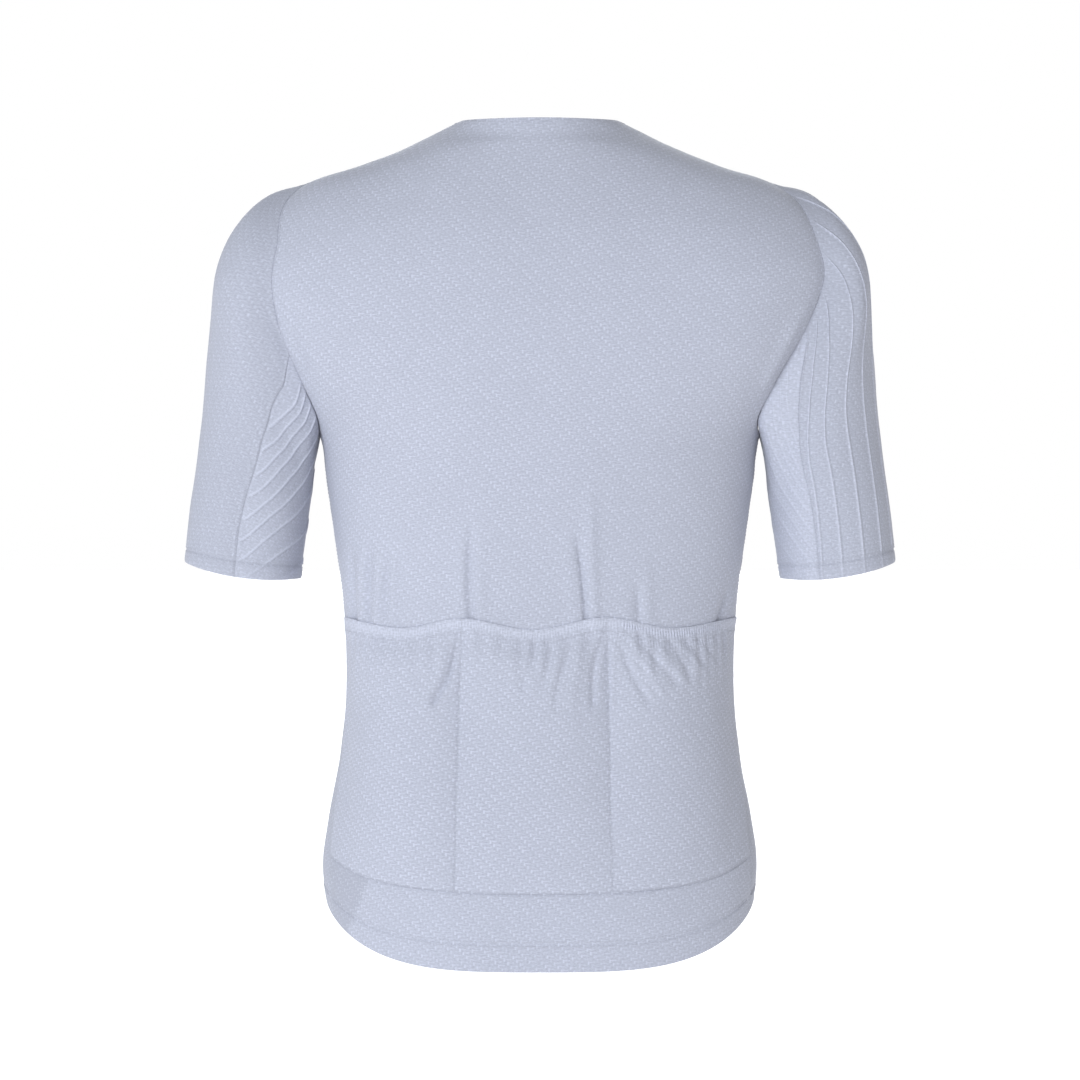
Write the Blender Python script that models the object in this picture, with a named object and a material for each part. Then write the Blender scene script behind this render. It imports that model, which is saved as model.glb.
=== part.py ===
"""Short-sleeved cycling jersey, filled out as it is when worn, with nobody in it.

The origin lies between the shoulders, level with the points where neck meets shoulder.
The back faces -Y, the zip faces +Y, and +X is on the wearer's right.  Each cloth piece is
a wall cut from one body form or from a sleeve form.  Tables are in millimetres.
"""
import math
from typing import NamedTuple

import bpy
import bmesh
import numpy as np
from mathutils import Matrix, Vector
from mathutils.geometry import delaunay_2d_cdt

MM = 0.001

WALL = 1.2                 # thickness of every cloth wall
SEAM_GAP = 0.3             # clear gap between two sewn edges
SLEEVE_HEAD_GAP = 0.55     # how far a sleeve's head is drawn back from the armhole
LAP = 0.3                  # how far a sleeve's edge stands out from the armhole's edge

LEFT, RIGHT = -1, 1        # the sides as seen from behind: -X and +X


class Ring(NamedTuple):
    """One level of the body form: its width, depths and the heights round it."""
    name: str
    half_width: float
    side_z: float
    back_depth: float
    back_z: float
    front_depth: float
    front_z: float
    squareness: float


BODY_RINGS = (
    Ring("hem",          178.6, -639, 112, -690, 103, -628, 2.3),
    Ring("hip",          181.2, -612, 114, -648, 104, -604, 2.3),
    Ring("low hip",      176.4, -570, 112, -586, 103, -566, 2.3),
    Ring("pocket",       166.6, -514, 106, -520, 101, -514, 2.3),
    Ring("waist",        161.8, -440,  98, -440,  99, -440, 2.3),
    Ring("high waist",   164.4, -389, 100, -389, 100, -389, 2.3),
    Ring("ribs",         171.2, -339, 105, -339, 104, -339, 2.3),
    Ring("chest",        178.4, -289, 110, -289, 109, -289, 2.3),
    Ring("armpit",       184.0, -252, 113, -254, 111, -254, 2.3),
    Ring("lower blade",  212.0, -205, 115, -215, 111, -215, 2.4),
    Ring("blade",        243.0, -150, 115, -170, 107, -172, 2.4),
    Ring("deltoid",      251.0, -106, 111, -130,  98, -146, 2.4),
    Ring("upper arm",    230.0,  -67, 104,  -94,  88, -121, 2.4),
    Ring("shoulder end", 193.0,  -40,  93,  -60,  78,  -99, 2.3),
    Ring("shoulder",     150.0,  -26,  80,  -31,  67,  -83, 2.2),
    Ring("inner",        110.0,  -10,  71,  -13,  59,  -72, 2.1),
    Ring("neck foot",     83.0,    3,  66,   -3,  54,  -63, 2.0),
    Ring("neck edge",     67.0,   11,  62,    9,  51,  -51, 2.0),
)


class ArmholeRow(NamedTuple):
    """A point of the armhole: its height, and its turn from centre back on each side."""
    height: float
    turn_left: float
    turn_right: float


ARMHOLE_BACK = (
    ArmholeRow(-253, 90.0, 90.0),
    ArmholeRow(-250, 80.0, 77.0),
    ArmholeRow(-240, 71.5, 67.0),
    ArmholeRow(-220, 65.0, 62.5),
    ArmholeRow(-195, 61.0, 60.5),
    ArmholeRow(-170, 58.5, 60.5),
    ArmholeRow(-145, 57.0, 62.0),
    ArmholeRow(-120, 56.5, 64.0),
    ArmholeRow(-96,  58.5, 65.5),
    ArmholeRow(-75,  65.0, 70.0),
    ArmholeRow(-54,  76.0, 79.0),
    ArmholeRow(-41,  88.0, 88.0),
    ArmholeRow(-42,  97.0, 97.0),
)
ARMHOLE_FRONT = (
    ArmholeRow(-253,  90.0,  90.0),
    ArmholeRow(-249, 100.0, 100.0),
    ArmholeRow(-235, 110.0, 110.0),
    ArmholeRow(-212, 117.0, 117.0),
    ArmholeRow(-182, 121.0, 121.0),
    ArmholeRow(-150, 123.0, 123.0),
    ArmholeRow(-119, 121.5, 121.5),
    ArmholeRow(-91,  117.5, 117.5),
    ArmholeRow(-68,  111.5, 111.5),
    ArmholeRow(-51,  104.5, 104.5),
    ArmholeRow(-42,   97.0,  97.0),
)

SHOULDER_SEAM_NECK_TURN = 108.0          # the shoulder seam lies a little forward
SIDE_SEAM = ((-640.0, 70.0), (-560.0, 72.0), (-440.0, 80.0), (-340.0, 86.0), (-256.0, 90.0))
BAND_SEAM = ((-45.0, -618.0), (0.0, -627.0), (45.0, -618.0), (70.0, -601.0), (90.0, -596.0))


class SleeveRing(NamedTuple):
    """One ring of a sleeve: its outer and inner outline points and its half depth."""
    outer_x: float
    outer_z: float
    inner_x: float
    inner_z: float
    half_depth: float


SLEEVE_RINGS = (
    SleeveRing(193.0,  -40.0, 184.0, -253.0, 62.0),
    SleeveRing(223.0,  -49.0, 187.0, -265.0, 63.0),
    SleeveRing(247.5,  -74.0, 188.8, -277.0, 62.0),
    SleeveRing(264.0, -107.0, 190.2, -289.0, 60.0),
    SleeveRing(273.0, -150.0, 191.2, -302.0, 58.0),
    SleeveRing(279.0, -195.0, 193.0, -315.0, 56.0),
    SleeveRing(282.5, -236.0, 195.0, -328.0, 54.0),
    SleeveRing(287.0, -272.0, 197.0, -341.0, 52.0),
    SleeveRing(292.5, -312.0, 199.0, -355.0, 50.5),
    SleeveRing(297.5, -357.0, 201.0, -371.0, 49.5),
)
SLEEVE_SQUARENESS = 2.1
CUFF_SAG = 6.0
ARMHOLE_REACH = 0.62       # share of the sleeve over which the armhole's shape dies away


class SleeveSeamRow(NamedTuple):
    """Where the sleeve's two lengthwise seams lie: clock angles, 0 outside and 90 behind."""
    along: float
    back_left: float
    back_right: float
    front: float


SLEEVE_SEAMS = (
    SleeveSeamRow(0.00, 134.0,  98.0, 245.0),
    SleeveSeamRow(0.15, 118.0, 106.0, 247.0),
    SleeveSeamRow(0.30, 102.0, 111.0, 248.0),
    SleeveSeamRow(0.50,  90.0, 113.0, 249.0),
    SleeveSeamRow(0.75,  85.0, 113.0, 249.0),
    SleeveSeamRow(1.00,  84.0, 115.0, 249.0),
)

OUTER_RIBS = 10            # raised ribs down each outer sleeve panel
UNDER_RIBS = 8             # raised ribs across each under sleeve panel
RIB_HEIGHT = 0.9
RIB_SHARE = 0.16           # a rib's width as a share of the pitch
RIB_HEAD_HOLD = 8.0        # ribs come in over one part in this many of the sleeve's length
RIB_SIDE_HOLD = 12.0       # and under ribs over one part in this many of the panel's width
UNDER_RIB_BEND = 0.75      # how strongly the under ribs rise towards the armpit
SLEEVE_SEAM_HALF = 0.35    # degrees of clock that each sleeve panel keeps from its seams


class Fold(NamedTuple):
    """A crease seen from behind: from its head to its foot, with its half width and height."""
    head_x: float
    head_z: float
    foot_x: float
    foot_z: float
    half_width: float
    height: float


FOLD_END = 1.6             # a fold dies away past its ends over this many half widths

BACK_FOLDS = (
    Fold(-154.0, -345.0, -156.0, -402.0,  6.5, -3.0),
    Fold(-140.0, -352.0, -142.0, -400.0,  5.0,  1.6),
    Fold(-127.0, -356.0, -129.0, -402.0,  5.0, -1.4),
    Fold( -54.0, -322.0,  -59.0, -402.0, 10.0, -3.0),
    Fold(  30.0, -296.0,   37.0, -402.0,  7.5, -2.6),
    Fold(  49.0, -310.0,   55.0, -402.0,  7.5,  2.0),
    Fold(  83.0, -372.0,   81.0, -402.0,  7.0, -1.6),
    Fold( 152.0, -378.0,  150.0, -402.0,  7.0, -2.4),
)

POCKET_FOLDS = (
    Fold( -66.0, -420.0,  -88.0, -480.0, 5.0, -2.6),
    Fold( -76.0, -424.0, -100.0, -470.0, 5.0,  1.8),
    Fold(  -4.0, -425.0,  -13.0, -460.0, 4.5, -1.6),
    Fold(  11.0, -430.0,    1.0, -462.0, 4.5,  1.4),
    Fold(  25.0, -432.0,   13.0, -475.0, 4.5, -1.8),
    Fold(  51.0, -412.0,   44.0, -474.0, 5.5, -3.0),
    Fold(  62.0, -414.0,   56.0, -468.0, 5.0,  2.2),
    Fold(  66.0, -416.0,   87.0, -472.0, 5.0, -2.2),
    Fold(  82.0, -418.0,  106.0, -456.0, 4.5, -1.8),
    Fold( 106.0, -422.0,  118.0, -452.0, 4.5, -1.6),
    Fold( 118.0, -420.0,  130.0, -440.0, 4.5, -1.4),
)

POCKET_TOP = ((-162.0, -403.0), (-112.0, -411.0), (-66.0, -403.0), (-6.0, -412.0),
              (54.0, -402.0), (108.0, -411.0), (162.0, -403.0))
POCKET_STITCHES = ((-64.0, -70.0), (54.0, 61.0))     # x at the mouth and at the foot
POCKET_REST = 0.9          # gap to the back where the pocket cloth is stitched down
POCKET_LIFT = 10.0         # how far a pocket's middle stands out from there
POCKET_SIDE_X = 158.0      # where the outer pockets end, seen from behind
POCKET_ROUND = 0.8         # lower is a squarer pouch from stitch line to stitch line
POCKET_FILL = 0.45         # lower is a pouch that stands out sooner above its foot
POCKET_SIDE_HOLD = 14.0    # folds come in over one part in this many of the width
POCKET_FOOT_HOLD = 6.0     # and over one part in this many of the height
POCKET_ROW_EASE = 1.25     # rows lie closer towards the mouth
POCKET_GATHERS = 30        # waves drawn up by the elastic across the three mouths
GATHERED_TURN = 75.0       # turn from centre back to where the waves are counted
GATHER_HEIGHT = 1.2
GATHER_LENGTH = 42.0

ZIP_BEAD_HALF = 2.6
BEAD_SLOPE = 0.3           # run over which the bead drops to the tape
ZIP_EDGE = 4.6             # from the mid-plane to the front's edge beside the zip
ZIP_TAPE_HALF = 14.0
ZIP_TAPE_WALL = 1.0
TAPE_GAP = 0.8             # from a front's inside to the tape behind it
ZIP_SPLIT_HALF = 1.5       # half the space between the tapes above the bead
ZIP_TOP_MARGIN = 6.0       # from the slider's top to the neck's edge
ROWS_BY_SLIDER = (3.0, 12.0, 16.0, 21.0, 27.0)     # added tape rows, down from the neck

SLIDER_LENGTH = 11.0
SLIDER_HALF_WIDTH = 4.0
SLIDER_PLATE = 1.2
PLATE_GAP = 0.8            # from each slider plate to the bead and to the tape
SLIDER_POST_HALF = 1.1
SLIDER_POST_LENGTH = 2.4
SLIDER_POST_INSET = 0.2
LUG_HEIGHT = 3.4
LUG_LENGTH = 4.4
LUG_WALL = 1.0
PIN_RADIUS = 0.8
EYE_RADIUS = 1.15
BARREL_RADIUS = 2.0
PULL_HALF_WIDTH = 2.4
PULL_LENGTH = 19.0
PULL_WALL = 1.4
BARREL_INSET = 0.2         # the barrel ends this far inside the pull's sides
PULL_LEAN = math.radians(24.0)     # the pull lies off the slider's plate, on the chest
ROUND_SIDES = 16

LAVENDER_GREY = (0.66, 0.66, 0.70, 1.0)
RIB_GREY = (0.64, 0.64, 0.68, 1.0)
ZIP_WHITE = (0.78, 0.78, 0.79, 1.0)
PULL_METAL = (0.62, 0.62, 0.63, 1.0)


def smooth(stations, values, at):
    """Read a table at new stations along a smooth curve through its rows."""
    stations = np.asarray(stations, float)
    values = np.asarray(values, float)
    step = np.diff(stations)
    rate = np.diff(values, axis=0) / step[:, None]
    inner = (rate[:-1] * step[1:, None] + rate[1:] * step[:-1, None]) / (step[1:] + step[:-1])[:, None]
    slope = np.vstack([rate[:1], inner, rate[-1:]])
    at = np.clip(np.asarray(at, float), stations[0], stations[-1])
    row = np.clip(np.searchsorted(stations, at, side="right") - 1, 0, len(step) - 1)
    t = ((at - stations[row]) / step[row])[..., None]
    width = step[row][..., None]
    return ((1 + 2 * t) * (1 - t) ** 2 * values[row] + t * (1 - t) ** 2 * width * slope[row]
            + t * t * (3 - 2 * t) * values[row + 1] - t * t * (1 - t) * width * slope[row + 1])


def path_stations(points):
    """Distance along a run of points, from 0 to 1."""
    reach = np.concatenate([[0.0], np.cumsum(np.linalg.norm(np.diff(points, axis=0), axis=1))])
    return reach / reach[-1]


def unit(vectors):
    """Vectors of length one."""
    return vectors / np.linalg.norm(vectors, axis=-1, keepdims=True)


class BodyForm:
    """The smooth form that the back, the fronts and the zip are cut from."""

    def __init__(self, rings):
        self.table = np.array([ring[1:] for ring in rings], float)
        self.stations = path_stations(self.table[:, :4])

    def point(self, turn, rise):
        """Points at a turn in degrees from centre back and a rise from hem 0 to neck 1."""
        turn, rise = np.broadcast_arrays(np.asarray(turn, float), np.asarray(rise, float))
        (half_width, side_z, back_depth, back_z,
         front_depth, front_z, square) = np.moveaxis(smooth(self.stations, self.table, rise), -1, 0)
        across, behind = np.sin(np.radians(turn)), np.cos(np.radians(turn))
        depth = np.where(behind > 0, back_depth, front_depth)
        middle_z = np.where(behind > 0, back_z, front_z)
        reach = (np.abs(across) ** square + np.abs(behind) ** square) ** (-1 / square)
        height = side_z + (middle_z - side_z) * (1 - across ** 4)
        return np.stack([half_width * across * reach, -depth * behind * reach, height], axis=-1)

    def normal(self, turn, rise):
        """Unit vectors pointing out of the form."""
        nudge_turn, nudge_rise = 0.5, 0.002      # degrees, and a share of the form's length
        turn, rise = np.broadcast_arrays(np.asarray(turn, float), np.asarray(rise, float))
        low, high = np.maximum(rise - nudge_rise, 0), np.minimum(rise + nudge_rise, 1)
        round_it = self.point(turn + nudge_turn, rise) - self.point(turn - nudge_turn, rise)
        up_it = self.point(turn, high) - self.point(turn, low)
        return unit(np.cross(round_it, up_it))

    def rise_at(self, turn, height):
        """The rise at which the form reaches a height, found by halving."""
        turn, height = np.broadcast_arrays(np.asarray(turn, float), np.asarray(height, float))
        low, high = np.zeros(turn.shape), np.ones(turn.shape)
        for _ in range(32):
            middle = (low + high) / 2
            below = self.point(turn, middle)[..., 2] < height
            low, high = np.where(below, middle, low), np.where(below, high, middle)
        return (low + high) / 2

    def turn_at(self, across, rise):
        """The turn near centre front at which the form is this far from the mid-plane."""
        half_width = smooth(self.stations, self.table, rise)[..., 0]
        return 180 - np.degrees(np.arcsin(across / half_width))

    def place_behind(self, x, height):
        """Turn and rise of places given as they are seen from behind, found by halving."""
        low, high = np.full(len(x), -90.0), np.full(len(x), 90.0)
        for _ in range(24):
            middle = (low + high) / 2
            short = self.point(middle, self.rise_at(middle, height))[:, 0] < x
            low, high = np.where(short, middle, low), np.where(short, high, middle)
        return np.column_stack([middle, self.rise_at(middle, height)])

    def girth(self, rise):
        """A mean radius at a rise."""
        return smooth(self.stations, self.table, rise)[..., [0, 2]].mean(axis=-1)

    def lay_flat(self, places):
        """Turn and rise laid out flat to space points by: true lengths, wider near the neck."""
        rise = places[..., 1]
        return np.stack([np.radians(places[..., 0]) * self.girth(rise) * (1 + NECK_SPREAD * rise ** 8),
                         FORM_LENGTH * (rise + NECK_SPREAD * rise ** 9 / 9)], axis=-1)

    def pick_up(self, flat):
        """Turn and rise of places that are laid out flat."""
        fine = np.linspace(0, 1, 400)
        rise = np.interp(flat[..., 1], FORM_LENGTH * (fine + NECK_SPREAD * fine ** 9 / 9), fine)
        radius = self.girth(rise) * (1 + NECK_SPREAD * rise ** 8)
        return np.stack([np.degrees(flat[..., 0] / radius), rise], axis=-1)


FORM_LENGTH = 790.0        # from hem to neck along the form
NECK_SPREAD = 1.2          # points lie this much closer at the neck than at the hem
BODY = BodyForm(BODY_RINGS)


def side_seam(height):
    """Turn of the side seam at a height."""
    heights, turns = np.array(SIDE_SEAM).T
    return smooth(heights, turns[:, None], height)[..., 0]


def side_run(side, from_rise, to_rise, count):
    """Turn and rise along a side seam."""
    rise = np.linspace(from_rise, to_rise, count)
    turn = np.full(count, 80.0)
    for _ in range(4):
        turn = side_seam(BODY.point(turn, rise)[:, 2])
    return np.column_stack([side * turn, rise])


def armhole_run(rows, side, count):
    """Turn and rise up one half of an armhole, evenly spaced, from armpit to shoulder seam."""
    turn = np.array([row.turn_left if side == LEFT else row.turn_right for row in rows])
    height = np.array([row.height for row in rows])
    knots = np.column_stack([side * turn, BODY.rise_at(turn, height)])
    fine = smooth(path_stations(BODY.point(*knots.T)), knots, np.linspace(0, 1, 200))
    spaced = smooth(path_stations(BODY.point(*fine.T)), fine, np.linspace(0, 1, count))
    return spaced


def straight(start, end, count):
    """An even run between two places in turn and rise."""
    return np.linspace(start, end, count)


def inside(loop, places):
    """Which of the places lie within a closed run; both are laid out flat."""
    x, y = places[:, None, 0], places[:, None, 1]
    (x0, y0), (x1, y1) = loop.T, np.roll(loop, -1, axis=0).T
    crossed = (y0 <= y) != (y1 <= y)
    height = np.where(y1 == y0, 1.0, y1 - y0)
    return np.sum(crossed & (x < x0 + (y - y0) / height * (x1 - x0)), axis=1) % 2 == 1


def clearance(loop, places):
    """Distance of each place from a closed run; both are laid out flat."""
    run = np.roll(loop, -1, axis=0) - loop
    offset = places[:, None] - loop
    share = np.clip(np.sum(offset * run, axis=-1) / np.sum(run * run, axis=-1), 0, 1)
    return np.linalg.norm(offset - share[..., None] * run, axis=-1).min(axis=1)


def closed_run(*runs):
    """Join edge runs end to end into one loop that turns left, without its doubled ends."""
    loop = np.concatenate([run[:-1] for run in runs])
    ahead = np.roll(loop, -1, axis=0)
    area = np.sum(loop[:, 0] * ahead[:, 1] - ahead[:, 0] * loop[:, 1])
    return loop if area > 0 else loop[::-1]


def fill(edge, spacing, kept=np.zeros((0, 2))):
    """Fill a closed run of turn and rise with even triangles, keeping some places of its own."""
    loop, own = BODY.lay_flat(edge), BODY.lay_flat(kept)
    low, high = np.floor(loop.min(axis=0) / spacing), np.ceil(loop.max(axis=0) / spacing)
    x, y = np.meshgrid(np.arange(low[0], high[0] + 1), np.arange(low[1], high[1] / ROW_PITCH + 1))
    x[1::2] += 0.5
    even = np.column_stack([x.ravel(), y.ravel() * ROW_PITCH]) * spacing
    own = own[inside(loop, own) & (clearance(loop, own) > FOLD_ROOM)]
    even = even[inside(loop, even)]
    even = even[clearance(loop, even) > EDGE_ROOM * spacing]
    if len(own):
        apart = np.linalg.norm(even[:, None] - own, axis=-1).min(axis=1)
        even = even[apart > EDGE_ROOM * spacing]
    flat = np.concatenate([loop, own, even])
    _, _, faces, sources, _, _ = delaunay_2d_cdt(
        [Vector(place) for place in flat], [], [list(range(len(loop)))], 1, 1e-6)
    number = np.array([source[0] for source in sources])
    return np.concatenate([edge, BODY.pick_up(flat[len(loop):])]), number[np.array(faces)]


def fold_places(folds):
    """Places along the middle and both flanks of each fold, so that triangles follow it."""
    places = []
    for fold in folds:
        share = np.linspace(0, 1, FOLD_STEPS)[:, None]
        line = (1 - share) * (fold.head_x, fold.head_z) + share * (fold.foot_x, fold.foot_z)
        for flank in (-1, 0, 1):
            places.append(line + (flank * fold.half_width, 0))
    return BODY.place_behind(*np.concatenate(places).T)


def fold_height(points, folds):
    """How far each point, seen from behind, is raised or sunk by a table of folds."""
    raised = np.zeros(points.shape[:-1])
    for fold in folds:
        head = np.array([fold.head_x, fold.head_z])
        run = np.array([fold.foot_x, fold.foot_z]) - head
        length = np.linalg.norm(run)
        place = points[..., [0, 2]] - head
        along = place @ run / length
        aside = (place[..., 0] * run[1] - place[..., 1] * run[0]) / length
        past_end = np.maximum(np.maximum(-along, along - length), 0)
        fade = np.exp(-(past_end / (FOLD_END * fold.half_width)) ** 2)
        raised += fold.height * fade * np.exp(-(aside / fold.half_width) ** 2)
    return raised


def pull_rim_in(points, normals, count, gap):
    """Draw the closed rim that a panel's first points make back from its seams, mitred."""
    points = points.copy()
    rim, out = points[:count], normals[:count]
    along = unit(np.roll(rim, -1, axis=0) - rim)
    ahead = unit(np.cross(out, along))
    behind = unit(np.cross(out, np.roll(along, 1, axis=0)))
    alike = np.sum(ahead * behind, axis=-1, keepdims=True)
    points[:count] = rim + gap * (ahead + behind) / (1 + alike)
    return points


def pull_in(grid, gap, sides):
    """Draw chosen edges of a grid back from the seam they are sewn to."""
    grid = grid.copy()
    edges = {"start": (np.s_[0, :], np.s_[1, :]), "end": (np.s_[-1, :], np.s_[-2, :]),
             "left": (np.s_[:, 0], np.s_[:, 1]), "right": (np.s_[:, -1], np.s_[:, -2])}
    for side in sides:
        edge, beside = edges[side]
        grid[edge] += gap * unit(grid[beside] - grid[edge])
    return grid


def material(name, colour, roughness, metallic=0.0):
    """A finish shared by the pieces of one kind."""
    finish = bpy.data.materials.get(name) or bpy.data.materials.new(name)
    finish.use_nodes = True
    shader = finish.node_tree.nodes["Principled BSDF"]
    shader.inputs["Base Color"].default_value = colour
    shader.inputs["Roughness"].default_value = roughness
    shader.inputs["Metallic"].default_value = metallic
    return finish


def add_object(name, mesh, finish, parent=None):
    """Put a mesh in the scene as a named piece."""
    piece = bpy.data.objects.new(name, mesh)
    piece.data.materials.append(finish)
    piece.parent = parent
    bpy.context.scene.collection.objects.link(piece)
    return piece


def add_shell(name, outer, inner, faces, rim, finish):
    """A closed wall between two lists of points that share their triangles and their rim."""
    count = len(outer)
    after = np.roll(rim, -1)
    sides = np.concatenate([np.stack([after, rim, rim + count], -1),
                            np.stack([after, rim + count, after + count], -1)])
    triangles = np.concatenate([faces, faces[:, ::-1] + count, sides])
    mesh = bpy.data.meshes.new(name)
    mesh.from_pydata((np.concatenate([outer, inner]) * MM).tolist(), [], triangles.tolist())
    tidy = bmesh.new()
    tidy.from_mesh(mesh)
    bmesh.ops.recalc_face_normals(tidy, faces=tidy.faces)
    tidy.to_mesh(mesh)
    tidy.free()
    mesh.shade_smooth()
    mesh.set_sharp_from_angle(angle=math.radians(50))
    return add_object(name, mesh, finish)


def add_wall(name, outer, inner, finish):
    """A closed wall between two grids of points, rimmed on all four sides."""
    rows, columns = outer.shape[:2]
    number = np.arange(rows * columns).reshape(rows, columns)
    a, b, c, d = number[:-1, :-1], number[:-1, 1:], number[1:, 1:], number[1:, :-1]
    faces = np.concatenate([np.stack(corner, -1).reshape(-1, 3) for corner in ((a, b, c), (a, c, d))])
    rim = np.concatenate([number[0], number[1:, -1], number[-1, -2::-1], number[-2:0:-1, 0]])
    return add_shell(name, outer.reshape(-1, 3), inner.reshape(-1, 3), faces, rim, finish)


def add_panel(name, edge, spacing, folds, cloth):
    """A panel of the body form inside a closed run of turn and rise, with its folds."""
    places, faces = fill(edge, spacing, fold_places(folds)) if folds else fill(edge, spacing)
    points, normals = BODY.point(*places.T), BODY.normal(*places.T)
    points = points + normals * fold_height(points, folds)[:, None]
    points = pull_rim_in(points, normals, len(edge), SEAM_GAP / 2)
    return add_shell(name, points, points - WALL * normals, faces, np.arange(len(edge)), cloth)


def band_seam_rise(turn):
    """Rise of the seam between the pockets' foot and the hem band."""
    turns, heights = np.array(BAND_SEAM).T
    height = smooth(turns, heights[:, None], np.abs(turn))[..., 0]
    return BODY.rise_at(turn, height)


SIDE_ROWS, ARM_ROWS = 13, 13
SHOULDER_COLUMNS, BACK_NECK_COLUMNS, FRONT_NECK_COLUMNS = 6, 15, 9
FRONT_HEM_COLUMNS = 15
POCKET_COLUMNS, POCKET_ROWS = 105, 11
BAND_COLUMNS, BAND_ROWS = 33, 4
SLEEVE_ROWS = 12
UNDER_COLUMNS = 10
ZIP_ROWS = 20
ZIP_ROW_EASE = 1.3         # rows lie closer towards the neck
FRONT_RISES = 1 - np.linspace(1, 0, ZIP_ROWS) ** ZIP_ROW_EASE
PANEL_SPACING = 27.0       # between a panel's inner points
BAND_SPACING = 16.0
ROW_PITCH = math.sqrt(0.75)        # row distance of even triangles as a share of their side
EDGE_ROOM = 0.55           # room kept beside edges and folds, as a share of the spacing
FOLD_STEPS = 5
FOLD_ROOM = 4.0            # room kept between a fold's places and the panel's edge


def side_foot(side):
    """Where the band's seam meets a side seam."""
    turn = 70.0
    for _ in range(6):
        turn = float(side_seam(BODY.point(turn, band_seam_rise(turn))[2]))
    return np.array([side * turn, float(band_seam_rise(turn))])


def body_edge(side, rows):
    """A body panel's edge: up the side seam from the band, then round its half armhole."""
    arm = armhole_run(rows, side, ARM_ROWS)
    lower = side_run(side, side_foot(side)[1], arm[0, 1], SIDE_ROWS)
    return np.concatenate([lower[:-1], arm])


def add_back(cloth):
    """The back, from the seam above the hem band up to the neck."""
    left, right = body_edge(LEFT, ARMHOLE_BACK), body_edge(RIGHT, ARMHOLE_BACK)
    neck_left, neck_right = [(side * SHOULDER_SEAM_NECK_TURN, 1.0) for side in (LEFT, RIGHT)]
    turn = np.linspace(left[0, 0], right[0, 0], BAND_COLUMNS)
    edge = closed_run(np.column_stack([turn, band_seam_rise(turn)]), right,
                      straight(right[-1], neck_right, SHOULDER_COLUMNS),
                      straight(neck_right, neck_left, BACK_NECK_COLUMNS),
                      straight(neck_left, left[-1], SHOULDER_COLUMNS), left[::-1])
    return add_panel("back", edge, PANEL_SPACING, BACK_FOLDS, cloth)


def add_hem_band(cloth):
    """The band below the pockets, down to the hem."""
    foot_left, foot_right = side_foot(LEFT), side_foot(RIGHT)
    left = side_run(LEFT, 0.0, foot_left[1], BAND_ROWS)
    right = side_run(RIGHT, 0.0, foot_right[1], BAND_ROWS)
    seam_turn = np.linspace(foot_right[0], foot_left[0], BAND_COLUMNS)
    edge = closed_run(straight(left[0], right[0], BAND_COLUMNS), right,
                      np.column_stack([seam_turn, band_seam_rise(seam_turn)]), left[::-1])
    return add_panel("back_hem_band", edge, BAND_SPACING, (), cloth)


def stitch_at(share):
    """The two pocket stitch lines' distance from the mid-plane, from foot 0 to mouth 1."""
    return [foot + (mouth - foot) * share for mouth, foot in POCKET_STITCHES]


def pocket_lift(points, share):
    """How far the pocket cloth stands out: three pouches between the stitch lines."""
    left, right = stitch_at(share)
    across, edge = points[..., 0], POCKET_SIDE_X
    within = np.where(across < left, (across + edge) / (left + edge),
                      np.where(across > right, (across - right) / (edge - right),
                               (across - left) / (right - left)))
    pouch = np.sin(np.pi * np.clip(within, 0, 1)) ** POCKET_ROUND
    return POCKET_LIFT * pouch * np.clip(share, 0, 1) ** POCKET_FILL


def gather_height(turn, points):
    """Uneven waves below the elastic, dying away down the pocket."""
    top_x, top_z = np.array(POCKET_TOP).T
    below = np.interp(points[..., 0], top_x, top_z) - points[..., 2]
    phase = turn / GATHERED_TURN * np.pi * POCKET_GATHERS / 2
    wave = np.sin(2 * phase + 1.1 * np.sin(phase * 0.37) + 0.8 * np.sin(phase * 0.23 + 1.0))
    strength = 0.7 + 0.3 * np.sin(phase * 0.61 + 2.0)
    fade = np.exp(-(np.maximum(below, 0) / GATHER_LENGTH) ** 2)
    return GATHER_HEIGHT * wave * strength * fade


def add_pockets(cloth):
    """One cloth with three pockets, sewn in at the sides and foot, gathered at its mouths."""
    u = np.linspace(0, 1, POCKET_COLUMNS)[None, :]
    share = (1 - (1 - np.linspace(0, 1, POCKET_ROWS)) ** POCKET_ROW_EASE)[:, None]
    foot_turn = side_foot(RIGHT)[0]
    top_x, top_z = np.array(POCKET_TOP).T
    mouth_turn = float(side_seam(top_z[0]))
    turn = (2 * u - 1) * (foot_turn + (mouth_turn - foot_turn) * share)
    mouth = BODY.point(turn[-1], BODY.rise_at(turn[-1], top_z[0]))
    mouth_rise = BODY.rise_at(turn[-1], smooth(top_x, top_z[:, None], mouth[:, 0])[:, 0])
    rise = band_seam_rise(turn[0]) * (1 - share) + mouth_rise * share
    points, normals = BODY.point(turn, rise), BODY.normal(turn, rise)
    lift = POCKET_REST + WALL + pocket_lift(points, share)
    near_edge = (np.minimum(1, np.minimum(u, 1 - u) * POCKET_SIDE_HOLD)
                 * np.minimum(1, share * POCKET_FOOT_HOLD))
    lift = lift + near_edge * (gather_height(turn, points) + fold_height(points, POCKET_FOLDS))
    lift = np.maximum(lift, POCKET_REST + WALL)
    back = fold_height(points, BACK_FOLDS)
    points = points + normals * (lift + np.maximum(back, 0))[..., None]
    points = pull_in(points, SEAM_GAP / 2, ("start", "left", "right"))
    return add_wall("pocket_panel", points, points - WALL * normals, cloth)


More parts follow.
